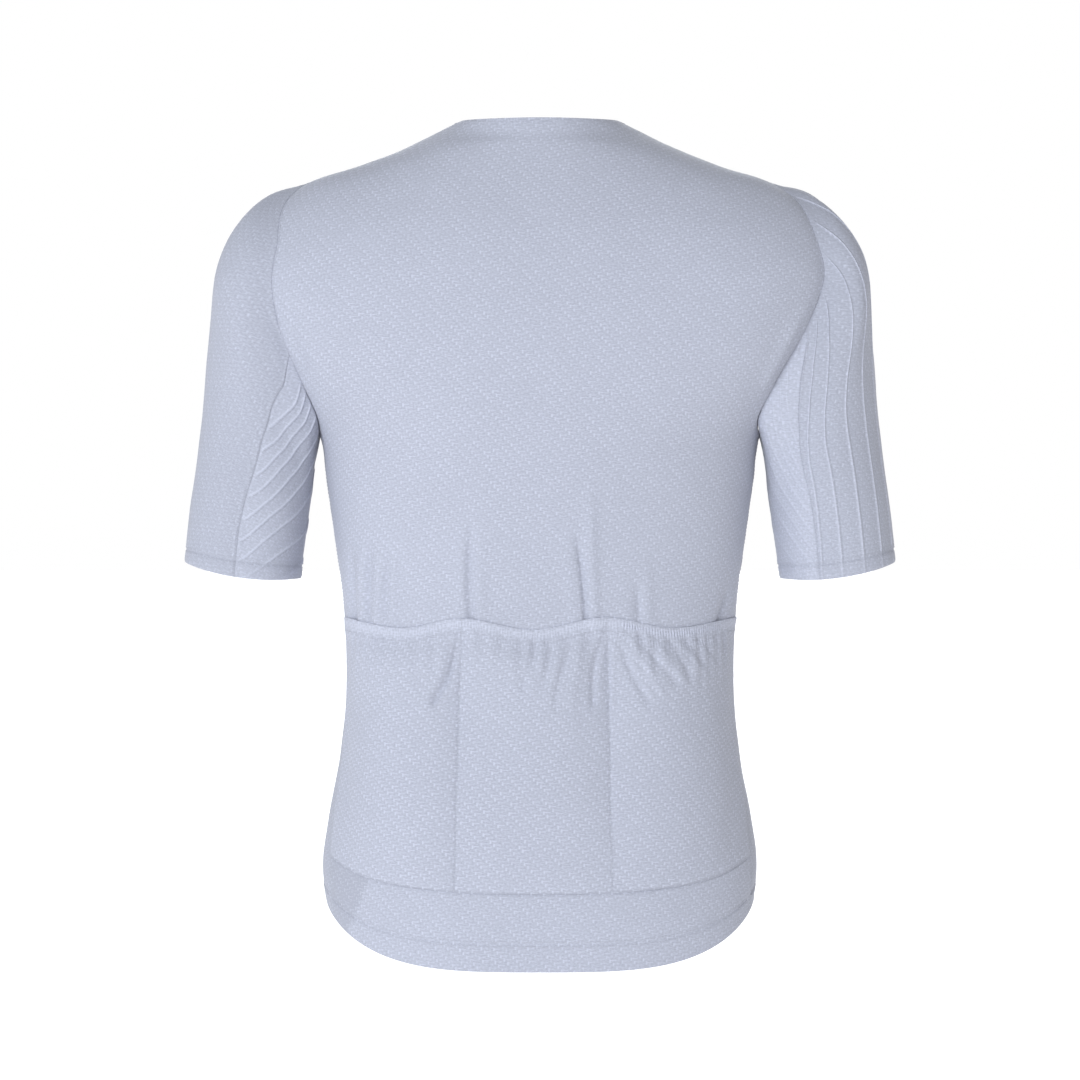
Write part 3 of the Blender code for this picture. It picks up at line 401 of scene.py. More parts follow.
@dataclass(frozen=True)
class SleeveForm:
    """The smooth form of one sleeve: a tapering tube whose head is the armhole's own loop.

    A ring holds the outer x and z, the inner x and z and the half depth.  The tube's plan is
    a superellipse, and the armhole's difference from the tube dies away with an ease.
    """

    side: Side
    rings: tuple = (
        (193.0, -40.0, 184.0, -253.0, 62.0), (223.0, -49.0, 187.0, -265.0, 63.0),
        (247.5, -74.0, 188.8, -277.0, 62.0), (264.0, -107.0, 190.2, -289.0, 60.0),
        (273.0, -150.0, 191.2, -302.0, 58.0), (279.0, -195.0, 193.0, -315.0, 56.0),
        (282.5, -236.0, 195.0, -328.0, 54.0), (287.0, -272.0, 197.0, -341.0, 52.0),
        (292.5, -312.0, 199.0, -355.0, 50.5), (297.5, -357.0, 201.0, -371.0, 49.5))
    seam_rows: tuple = (
        (0.00, 114.0, 94.0, 245.0), (0.05, 118.0, 102.0, 246.0), (0.12, 121.0, 112.0, 247.0),
        (0.20, 119.0, 117.5, 247.5), (0.27, 116.0, 120.0, 248.0), (0.38, 110.5, 120.0, 248.5),
        (0.54, 99.0, 116.5, 249.0), (0.65, 93.5, 112.5, 249.0), (0.75, 89.0, 111.0, 249.0),
        (0.86, 86.0, 111.0, 249.0), (1.00, 86.0, 112.0, 249.0))
    squareness: float = 2.1
    cuff_sag: float = 6.0
    reach: float = 0.62
    lap: float = 0.3
    loop: Array = field(init=False)
    loop_normals: Array = field(init=False)
    loop_clock: Array = field(init=False)

    def __post_init__(self) -> None:
        """Keep the armhole's loop, its normals and the clock angle of each of its places."""
        back = CUT.armhole_run(CUT.armhole_back, self.side, CUT.arm_steps)
        front = CUT.armhole_run(CUT.armhole_front, self.side, CUT.arm_steps)
        loop = np.concatenate([back, front[-2::-1]])
        points, normals = FORM.surface(*loop.T)
        object.__setattr__(self, "loop", points + self.lap * normals)
        object.__setattr__(self, "loop_normals", normals)
        object.__setattr__(self, "loop_clock", 180 - 360 * path_stations(points))

    def round_armhole(self, clock: Array, values: Array) -> Array:
        """Read values kept round the armhole at any clock angle."""
        clock = (np.asarray(clock, float) + 180) % 360 - 180
        order = np.argsort(self.loop_clock)
        return np.stack([np.interp(clock, self.loop_clock[order], values[order, axis])
                         for axis in range(3)], axis=-1)

    def tube(self, clock: Array, along: Array) -> Array:
        """Points of the plain tube."""
        rows = read_table(np.linspace(0, 1, len(self.rings)), np.array(self.rings), along)
        outer_x, outer_z, inner_x, inner_z, half_depth = np.moveaxis(rows, -1, 0)
        out, behind = np.cos(np.radians(clock)), np.sin(np.radians(clock))
        reach = super_ellipse(out, behind, self.squareness)
        out, behind = out * reach, behind * reach
        x = (outer_x + inner_x) / 2 + out * (outer_x - inner_x) / 2
        z = (outer_z + inner_z) / 2 + out * (outer_z - inner_z) / 2
        z = z - self.cuff_sag * behind ** 2 * along ** 4
        return np.stack([self.side.value * x, -half_depth * behind, z], axis=-1)

    def point(self, clock: Array, along: Array) -> Array:
        """Points of the sleeve."""
        clock, along = paired(clock, along)
        fade = (1 - ease(along / self.reach))[..., None]
        start = self.round_armhole(clock, self.loop) - self.tube(clock, np.zeros(clock.shape))
        return self.tube(clock, along) + fade * start

    def normal(self, clock: Array, along: Array) -> Array:
        """Outward unit vectors; at the head they lean to the body's own."""
        clock, along = paired(clock, along)
        low, high = np.maximum(along - 0.004, 0), np.minimum(along + 0.004, 1)
        round_it = self.point(clock + 1.5, along) - self.point(clock - 1.5, along)
        own = self.side.value * unit(np.cross(round_it, self.point(clock, high) - self.point(clock, low)))
        beside = self.round_armhole(clock, self.loop_normals)
        alike = np.clip(3 * np.sum(own * beside, axis=-1, keepdims=True), 0, 1)
        lean = alike * (1 - ease(along / 0.06))[..., None]
        return unit((1 - lean) * own + lean * beside)

    def seams(self, along: Array) -> tuple[Array, Array]:
        """Clock angles of the back and the front lengthwise seam."""
        rows = np.array(self.seam_rows)
        read = read_table(rows[:, 0], rows[:, 1:], along)
        return read[..., 0 if self.side is Side.LEFT else 1], read[..., 2]


def seen(points: Array) -> Array:
    """Across and height of points as an eye behind the back sees them, carried to the mid-plane."""
    nearer = EYE_FAR / (EYE_FAR + points[..., 1])
    return np.stack([points[..., 0] * nearer, EYE_HIGH + (points[..., 2] - EYE_HIGH) * nearer], -1)


@dataclass(frozen=True)
class Crease:
    """A crease as seen from behind, from head to foot; negative heights are troughs.

    ``bow`` shifts its middle sideways, and ``lean`` makes one flank narrower than the other.
    """

    head: tuple[float, float]
    foot: tuple[float, float]
    half_width: float
    height: float
    bow: float = 0.0
    lean: float = 0.0

    def raise_at(self, points: Array) -> Array:
        """Height added at points: a bell across the line that fades past both its ends."""
        head, run = np.array(self.head), np.subtract(self.foot, self.head)
        length = np.linalg.norm(run)
        place = seen(points) - head
        along = place @ run / length
        share = np.clip(along / length, 0, 1)
        aside = (place[..., 0] * -run[1] + place[..., 1] * run[0]) / length
        aside = aside - self.bow * np.sin(np.pi * share)
        width = self.half_width * (1 + self.lean * np.tanh(aside / self.half_width))
        taper = ease(share / 0.35) * 0.55 + 0.45
        past = np.maximum(np.maximum(-along, along - length), 0)
        return (self.height * taper * np.exp(-(past / (1.6 * self.half_width)) ** 2)
                * np.exp(-(aside / width) ** 2))


def creased(points: Array, creases: Sequence[Crease]) -> Array:
    """The height that a group of creases adds at points."""
    return sum((crease.raise_at(points) for crease in creases), np.zeros(points.shape[:-1]))


@dataclass
class Sheet:
    """A cloth sheet before it becomes a mesh.

    Points and normals are one row a place, faces turn outward or inward, the rim is the
    closed run of places round the edge, cloth holds millimetres across and along it, mark
    is above 0 where the cloth is paler and below 0 where it is darker, and ribs hold a
    count that is whole on each rib, the millimetres from rib to rib and the ribs' strength.
    """

    points: Array
    normals: Array
    faces: Array
    rim: Array
    cloth: Array
    mark: Array
    ribs: Array | None = None
    shape: tuple[int, int] = (0, 0)

    @staticmethod
    def from_grid(points: Array, normals: Array, cloth: Array, mark: Array,
                  ribs: Array | None = None) -> Sheet:
        """A sheet from grids of rows and columns of places."""
        rows, columns = points.shape[:2]
        number = np.arange(rows * columns).reshape(rows, columns)
        faces = np.stack([number[:-1, :-1], number[:-1, 1:], number[1:, 1:], number[1:, :-1]], -1)
        rim = np.concatenate([number[0], number[1:, -1], number[-1, -2::-1], number[-2:0:-1, 0]])
        return Sheet(points.reshape(-1, 3), normals.reshape(-1, 3), faces.reshape(-1, 4), rim,
                     cloth.reshape(-1, 2), mark.ravel(), None if ribs is None else ribs.reshape(-1, 3),
                     (rows, columns))

    def grids(self) -> tuple[Array, Array]:
        """Points and normals as grids of rows and columns."""
        return self.points.reshape(*self.shape, 3), self.normals.reshape(*self.shape, 3)

    def outward(self) -> Array:
        """Faces turned so that they look along the normals."""
        a, b, c = (self.points[self.faces[:, corner]] for corner in range(3))
        faces_out = np.sum(np.cross(b - a, c - a) * self.normals[self.faces[:, 0]]) > 0
        return self.faces if faces_out else self.faces[:, ::-1]

    def shell(self, name: str, thickness: float, finish: bpy.types.Material) -> bpy.types.Object:
        """A closed wall from the sheet down to ``thickness`` below it.

        Args:
            name: Name of the object and of its mesh.
            thickness: Wall in millimetres.
            finish: The wall's material.

        Returns:
            The new object.
        """
        count, faces, rim = len(self.points), self.outward(), self.rim
        runs = set(map(tuple, np.stack([faces, np.roll(faces, -1, axis=1)], -1).reshape(-1, 2).tolist()))
        if (int(rim[0]), int(rim[1])) not in runs:
            rim = rim[::-1]
        after = np.roll(rim, -1)
        sides = np.stack([after, rim, rim + count, after + count], -1)
        points = np.concatenate([self.points, self.points - thickness * self.normals])
        polygons = faces.tolist() + (faces[:, ::-1] + count).tolist() + sides.tolist()
        piece = make_object(name, points, polygons, finish, np.concatenate([self.cloth, self.cloth]))
        attributes = piece.data.attributes
        attributes.new("mark", "FLOAT", "POINT").data.foreach_set("value", np.tile(self.mark, 2))
        if self.ribs is not None:
            ribs = attributes.new("ribs", "FLOAT_VECTOR", "POINT")
            ribs.data.foreach_set("vector", np.tile(self.ribs, (2, 1)).ravel())
        return piece


def make_object(name: str, points: Array, polygons: Sequence, finish: bpy.types.Material,
                cloth: Array | None = None, sharp: float = 60.0) -> bpy.types.Object:
    """Put a mesh in the scene.

    Args:
        name: Name of the object and of its mesh.
        points: Places in millimetres.
        polygons: Corner numbers of each face.
        finish: Its material.
        cloth: Millimetres across and along the cloth at each place, or nothing.
        sharp: Edges that bend by more degrees than this stay sharp.

    Returns:
        The new object.
    """
    mesh = bpy.data.meshes.new(name)
    mesh.from_pydata((points * MM).tolist(), [], polygons)
    if cloth is not None:
        corner = np.empty(len(mesh.loops), np.int32)
        mesh.loops.foreach_get("vertex_index", corner)
        mesh.uv_layers.new(name="UVMap").data.foreach_set("uv", (cloth[corner] * MM).ravel())
    mesh.shade_smooth()
    mesh.set_sharp_from_angle(angle=math.radians(sharp))
    mesh.materials.append(finish)
    piece = bpy.data.objects.new(name, mesh)
    bpy.context.scene.collection.objects.link(piece)
    return piece


def in_chunks(function: Callable[[Array], Array], places: Array, size: int = 800) -> Array:
    """Run a function over places a few hundred at a time."""
    if not len(places):
        return np.zeros(0)
    return np.concatenate([function(places[at:at + size]) for at in range(0, len(places), size)])


@dataclass
class FlatLoop:
    """A closed run laid out flat that turns left, and what lies inside it."""

    corners: Array

    @staticmethod
    def joined(*runs: Array) -> tuple[FlatLoop, Array]:
        """Join runs of turn and rise end to end; gives the flat loop and its places."""
        places = np.concatenate([run[:-1] for run in runs])
        flat = FORM.lay_flat(places)
        ahead = np.roll(flat, -1, axis=0)
        if np.sum(flat[:, 0] * ahead[:, 1] - ahead[:, 0] * flat[:, 1]) < 0:
            places, flat = places[::-1], flat[::-1]
        return FlatLoop(flat), places

    def inside(self, places: Array) -> Array:
        """Which places lie within the loop: their ray to the right crosses it an odd number of times."""
        (x0, y0), (x1, y1) = self.corners.T, np.roll(self.corners, -1, axis=0).T
        height = np.where(y1 == y0, 1.0, y1 - y0)

        def count(some: Array) -> Array:
            """Crossings of a few places."""
            x, y = some[:, None, 0], some[:, None, 1]
            crossed = ((y0 <= y) != (y1 <= y)) & (x < x0 + (y - y0) / height * (x1 - x0))
            return np.sum(crossed, axis=1) % 2 == 1

        return in_chunks(count, places).astype(bool)

    def clearance(self, places: Array) -> Array:
        """Distance of each place from the loop."""
        run = np.roll(self.corners, -1, axis=0) - self.corners
        span = np.sum(run * run, axis=-1)

        def measure(some: Array) -> Array:
            """Distances of a few places."""
            offset = some[:, None] - self.corners
            share = np.clip(np.sum(offset * run, axis=-1) / span, 0, 1)
            return np.linalg.norm(offset - share[..., None] * run, axis=-1).min(axis=1)

        return in_chunks(measure, places)

    def well_inside(self, places: Array, room: float) -> Array:
        """The places that lie inside the loop with more than this much room to it."""
        places = places[self.inside(places)]
        return places[self.clearance(places) > room]

    def ring(self, offset: float) -> Array:
        """Places at an offset inside the loop, along the mean of the two edges' normals."""
        run = unit(np.roll(self.corners, -1, axis=0) - self.corners)
        normal = np.stack([-run[:, 1], run[:, 0]], -1)
        before = np.roll(normal, 1, axis=0)
        mitre = (normal + before) / np.maximum(1 + np.sum(normal * before, axis=1, keepdims=True), 0.5)
        return self.corners + offset * mitre


@dataclass(frozen=True)
class Stitching:
    """Rows of small capsules on the cloth: stitches along a run, or a zip's teeth across it.

    Sections hold a share of the length and a share of the radius.
    """

    pitch: float = 3.2
    length: float = 2.2
    radius: float = 0.22
    across: bool = False
    lift: float = 0.08
    sides: int = 5
    sections: tuple = ((-0.5, 0.35), (-0.33, 1.0), (0.33, 1.0), (0.5, 0.35))

    def corners(self, points: Array, normals: Array) -> Array:
        """Corners of one row's capsules, by capsule, section and side.

        Args:
            points: Places along the run.
            normals: Outward unit vectors there.

        Returns:
            Corners in millimetres.
        """
        reach = reach_along(points)
        count = max(int(reach[-1] / self.pitch), 2)
        at = (np.arange(count) + 0.5) / count * reach[-1]

        def walk(values: Array, shift: float = 0.0) -> Array:
            """Values at the capsules' middles, or so far past them."""
            return np.stack([np.interp(at + shift, reach, value) for value in values.T], -1)

        out, ahead = unit(walk(normals)), unit(walk(points, 0.6) - walk(points, -0.6))
        aside = unit(np.cross(out, ahead))
        out = np.cross(ahead, aside)
        if self.across:
            ahead, aside = aside, -ahead
        shares, widths = np.array(self.sections).T
        angle = np.arange(self.sides) * 2 * math.pi / self.sides
        cos, sin = np.cos(angle)[:, None], np.sin(angle)[:, None]
        ring = (cos * aside[:, None] + sin * out[:, None]) * self.radius
        middle = (walk(points) + self.lift * out)[:, None] + shares[:, None] * self.length * ahead[:, None]
        return middle[:, :, None] + widths[:, None, None] * ring[:, None]

    def faces(self, count: int) -> list:
        """Corner numbers of the faces of so many capsules: rings of four-sided faces and two ends."""
        rings, sides = len(self.sections), self.sides
        number = np.arange(rings * sides).reshape(rings, sides)
        turned = np.roll(number, -1, axis=1)
        wall = np.stack([number[:-1], turned[:-1], turned[1:], number[1:]], -1).reshape(-1, 4)
        starts = np.arange(count)[:, None, None] * rings * sides
        ends = np.stack([number[0, ::-1], number[-1]])
        return (wall + starts).reshape(-1, 4).tolist() + (ends + starts).reshape(-1, sides).tolist()

    def make(self, name: str, rows: Sequence[tuple[Array, Array]],
             finish: bpy.types.Material) -> bpy.types.Object:
        """One object of all the rows' capsules."""
        corners = np.concatenate([self.corners(*row) for row in rows])
        return make_object(name, corners.reshape(-1, 3), self.faces(len(corners)), finish)


@dataclass
class BodyPanel:
    """A cut piece of the body form, filled with even triangles inside its seams.

    Waves hold a height and a pitch each, and puckers a third value, how far from a seam they
    reach.  The end's line holds its x and z and its slope, and the hem's roll a height, a
    distance below the hem's line and a half width.
    """

    name: str
    runs: tuple[Array, ...]
    creases: tuple[Crease, ...] = ()
    spacing: float = 5.2
    seed: int = 1
    hemmed: bool = False
    seam_rings: tuple[float, ...] = (0.7, 1.8, 3.4)
    seam_dip: float = 0.12
    seam_reach: float = 1.8
    seam_shade: float = 0.04
    seam_ease: float = 14.0
    tone: float = 0.0
    waves: tuple = ((0.5, 95.0), (0.16, 34.0))
    puckers: tuple = (0.3, 13.0, 11.0)
    crease_ease: float = 5.0
    end_shade: float = 0.0
    end_line: tuple[float, float, float] = (-141.0, -621.0, 0.42)
    end_soft: float = 3.0
    hem_line: float = 20.0
    hem_stitch: tuple[float, float] = (0.55, 1.1)
    hem_roll: tuple[float, float, float] = (0.25, 5.0, 4.0)
    hem_rows: tuple[float, ...] = (-2.4, -1.2, 0.0, 1.2, 2.4)
    hem_step: float = 1.3
    flanks: tuple[float, ...] = (-1.5, -1, -0.5, 0, 0.5, 1, 1.5)
    crease_step: float = 4.0
    apart: float = 1.1
    row_pitch: float = math.sqrt(0.75)

    def kept(self) -> Array:
        """Places of its own, laid flat: rows by the hem stitches and along each crease."""
        places = [np.zeros((0, 2))]
        if self.hemmed:
            turns = np.concatenate([run[:, 0] for run in self.runs])
            turn = np.arange(turns.min(), turns.max(), self.hem_step)
            for row in self.hem_rows:
                rise = np.full(turn.shape, (self.hem_line + row) / FORM.length)
                places.append(FORM.lay_flat(np.column_stack([turn, rise])))
        for crease in self.creases:
            share = np.arange(-0.2, 1.2, self.crease_step / math.dist(crease.head, crease.foot))[:, None]
            line = (1 - share) * crease.head + share * crease.foot
            flanks = np.concatenate([line + (flank * crease.half_width, 0) for flank in self.flanks])
            places.append(FORM.lay_flat(FORM.place_behind(*flanks.T)))
        flat = np.concatenate(places)
        _, first = np.unique(np.round(flat / self.apart), axis=0, return_index=True)
        return flat[np.sort(first)]

    def fill(self) -> tuple[Array, Array, Array, Array]:
        """Fill the loop of seams with even triangles.

        Returns:
            Places as turn and rise, faces, the rim's numbers and each place's room to a seam.
        """
        loop, edge = FlatLoop.joined(*self.runs)
        low, high = loop.corners.min(axis=0) / self.spacing, loop.corners.max(axis=0) / self.spacing
        x, y = np.meshgrid(np.arange(math.floor(low[0]), high[0] + 1),
                           np.arange(math.floor(low[1]), high[1] / self.row_pitch + 1))
        x[1::2] += 0.5
        even = np.column_stack([x.ravel(), y.ravel() * self.row_pitch]) * self.spacing
        last = self.seam_rings[-1]
        own = loop.well_inside(self.kept(), last + 1)
        rings = [loop.well_inside(loop.ring(offset), 0.8 * offset) for offset in self.seam_rings]
        even = loop.well_inside(even, last + 0.5 * self.spacing)
        if len(own):
            apart = in_chunks(lambda some: np.linalg.norm(some[:, None] - own, axis=-1).min(axis=1), even)
            even = even[apart > 0.6 * self.spacing]
        flat = np.concatenate([loop.corners, *rings, own, even])
        _, _, faces, sources, _, _ = delaunay_2d_cdt(
            [Vector(place) for place in flat], [], [list(range(len(edge)))], 1, 1e-6)
        number = np.array([source[0] for source in sources])
        places = np.concatenate([edge, FORM.pick_up(flat[len(edge):])])
        room = np.concatenate([np.zeros(len(edge)), loop.clearance(flat[len(edge):])])
        room = room / (1 + FORM.neck_spread * places[:, 1] ** 8)
        return places, number[np.array(faces)], np.arange(len(edge)), room

    def height(self, places: Array, points: Array, room: Array) -> Array:
        """How far the cloth stands off the smooth form.

        Height = creases + soft waves and puckers that die away at the seams - the seam's dip.
        """
        waves = ripples(points, self.seed, self.waves)
        height, pitch, reach = self.puckers
        pucker = height * ripple(points, pitch, self.seed + 2) * bell(room, reach)
        soft = ease(room / self.seam_ease) * waves + ease(room / 3.0) * pucker
        dip = self.seam_dip * (1 - ease(room / self.seam_reach))
        total = creased(points, self.creases) * ease(room / self.crease_ease) + soft - dip
        if self.hemmed:
            above = places[:, 1] * FORM.length - self.hem_line
            (valley, half), (roll, below, reach) = self.hem_stitch, self.hem_roll
            total = total - valley * bell(above, half) + roll * bell(above + below, reach)
        return total

    def row(self, places: Array, inset: float = 0.0, room: float = 20.0) -> tuple[Array, Array]:
        """Points and normals on the cloth along a run.

        Args:
            places: The run as turn and rise.
            inset: How far into the panel the row lies from the run.
            room: Distance of the run itself to the nearest seam.

        Returns:
            Points and normals, one row a place.
        """
        points, normals = FORM.surface(*places.T)
        aside = unit(np.cross(normals, np.gradient(points, axis=0)))
        middle = FORM.point(*np.concatenate(self.runs).mean(axis=0))
        points = points + inset * math.copysign(1.0, float(np.sum(aside * (middle - points)))) * aside
        height = self.height(places, points, np.full(len(points), inset or room))
        return points + normals * height[:, None], normals

    def sheet(self) -> Sheet:
        """The panel's outside."""
        places, faces, rim, room = self.fill()
        points, normals = FORM.surface(*places.T)
        raised = points + normals * self.height(places, points, room)[:, None]
        run, out = raised[rim], normals[rim]
        along = unit(np.roll(run, -1, axis=0) - run)
        ahead, behind = unit(np.cross(out, along)), unit(np.cross(out, np.roll(along, 1, axis=0)))
        alike = np.sum(ahead * behind, axis=-1, keepdims=True)
        raised[rim] = run + CUT.seam_gap / 2 * (ahead + behind) / (1 + alike)
        mark = self.tone - self.seam_shade * bell(room, 0.9)
        (x, z), (end_x, end_z, slope) = seen(raised).T, self.end_line
        mark = mark - self.end_shade * ease((slope * (z - end_z) + end_x - x) / self.end_soft)
        return Sheet(raised, normals, faces, rim, FORM.cloth_place(places), mark)


BACK_CREASES = (
    Crease((-158, -352), (-156, -404), 2.6, -3.6),
    Crease((-150, -350), (-150, -404), 4.5, 1.8),
    Crease((-143, -340), (-144, -402), 2.6, -2.7),
    Crease((-136, -350), (-137, -402), 3.4, 1.5),
    Crease((-128, -346), (-130, -402), 2.6, -2.3),
    Crease((-117, -350), (-119, -402), 3.2, -1.7),
    Crease((-58, -330), (-58.5, -404), 3.2, -2.4, bow=-1.5, lean=0.3),
    Crease((-66, -335), (-66, -402), 5.0, 0.9),
    Crease((-49, -340), (-50, -402), 4.0, 1.1),
    Crease((31, -340), (38, -404), 2.2, -2.8, bow=1.0, lean=0.3),
    Crease((22, -330), (28, -402), 5.0, 0.7),
    Crease((42, -300), (46, -402), 4.5, 1.7),
    Crease((82, -380), (83, -404), 2.4, -1.9),
    Crease((90, -368), (91, -402), 4.0, 1.0),
    Crease((157, -382), (151, -404), 2.2, -2.8),
    Crease((163, -376), (160, -402), 3.5, 1.2),
    Crease((221, -146), (191, -204), 4.6, 2.2),
    Crease((-207, -160), (-196, -196), 3.0, -1.0, bow=-2),
    Crease((-203, -150), (-190, -190), 3.4, 0.9),
    Crease((-212, -140), (-206, -158), 2.2, -0.7),
)


@dataclass
class BackPieces:
    """The back above the band seam and the hem band below the pockets."""

    neck_columns: int = 70
    band_columns: int = 130
    hem_columns: int = 130

    def back(self) -> BodyPanel:
        """The back, from the band's seam up to the neck."""
        left = CUT.body_edge(Side.LEFT, CUT.armhole_back, CUT.side_foot(Side.LEFT)[1])
        right = CUT.body_edge(Side.RIGHT, CUT.armhole_back, CUT.side_foot(Side.RIGHT)[1])
        turn = np.linspace(left[0, 0], right[0, 0], self.band_columns)
        neck = np.linspace(CUT.neck_corner(Side.RIGHT), CUT.neck_corner(Side.LEFT), self.neck_columns)
        return BodyPanel("cloth_back", (
            np.column_stack([turn, CUT.band_rise(turn)]), right, CUT.shoulder_run(Side.RIGHT), neck,
            CUT.shoulder_run(Side.LEFT)[::-1], left[::-1]), BACK_CREASES, seed=11)

    def hem_band(self) -> BodyPanel:
        """The band below the pockets, down to the hem."""
        feet = {side: CUT.side_foot(side) for side in Side}
        left, right = (CUT.side_run(side, 0.0, feet[side][1], 20) for side in Side)
        turn = np.linspace(feet[Side.RIGHT][0], feet[Side.LEFT][0], self.band_columns)
        hem = np.linspace(left[0], right[0], self.hem_columns)
        return BodyPanel("cloth_hem_band", (
            hem, right, np.column_stack([turn, CUT.band_rise(turn)]), left[::-1]),
            spacing=4.4, seed=23, hemmed=True, end_shade=0.35)


@dataclass
class FrontPiece:
    """One front, from hem to neck, ending beside the zip."""

    side: Side
    zip_rows: int = 170
    neck_columns: int = 36
    hem_columns: int = 80

    def panel(self) -> BodyPanel:
        """The front as a panel of the body form."""
        foot = CUT.side_foot(self.side)
        beside_band = CUT.side_run(self.side, 0.0, foot[1], 20)
        run = np.concatenate([beside_band[:-1], CUT.body_edge(self.side, CUT.armhole_front, foot[1])])
        rise = np.linspace(0, 1, self.zip_rows)
        middle = np.column_stack([self.side.value * FORM.turn_at(CUT.zip_edge, rise), rise])
        return BodyPanel(f"cloth_front_{self.side.word}", (
            np.linspace(run[0], middle[0], self.hem_columns), middle,
            np.linspace(middle[-1], CUT.neck_corner(self.side), self.neck_columns),
            CUT.shoulder_run(self.side)[::-1], run[::-1]), seed=31 + self.side.value, hemmed=True,
            tone=-0.18)


POCKET_CREASES = (
    Crease((-68, -419), (-87, -474), 2.2, -4.2, bow=4),
    Crease((-76, -421), (-96, -478), 3.6, 1.6, bow=3),
    Crease((-60, -424), (-76, -470), 3.6, 1.0, bow=3),
    Crease((-97, -424), (-114, -460), 3.4, -0.9),
    Crease((-30, -424), (-40, -452), 3.0, -0.8),
    Crease((-4, -427), (-14, -462), 2.4, -1.5),
    Crease((3, -428), (-6, -462), 3.0, 1.1),
    Crease((11, -428), (1, -464), 2.4, -1.3),
    Crease((18, -428), (7, -468), 3.2, 1.2),
    Crease((25, -430), (13, -478), 2.6, -1.8, bow=-2),
    Crease((34, -424), (26, -474), 3.8, 1.1),
    Crease((54, -417), (44, -474), 2.8, -3.0, bow=-4),
    Crease((61, -422), (60, -480), 2.2, 1.6),
    Crease((66, -424), (88, -474), 2.8, -2.3, bow=-2),
    Crease((74, -420), (98, -466), 3.0, 1.5),
    Crease((84, -421), (109, -458), 2.6, -2.0, bow=-2),
    Crease((93, -422), (114, -454), 2.8, 1.2),
    Crease((108, -424), (121, -454), 2.4, -1.8),
    Crease((114, -422), (128, -446), 2.4, 1.0),
    Crease((120, -422), (133, -442), 2.2, -1.4),
    Crease((132, -420), (142, -436), 2.2, -1.1),
)


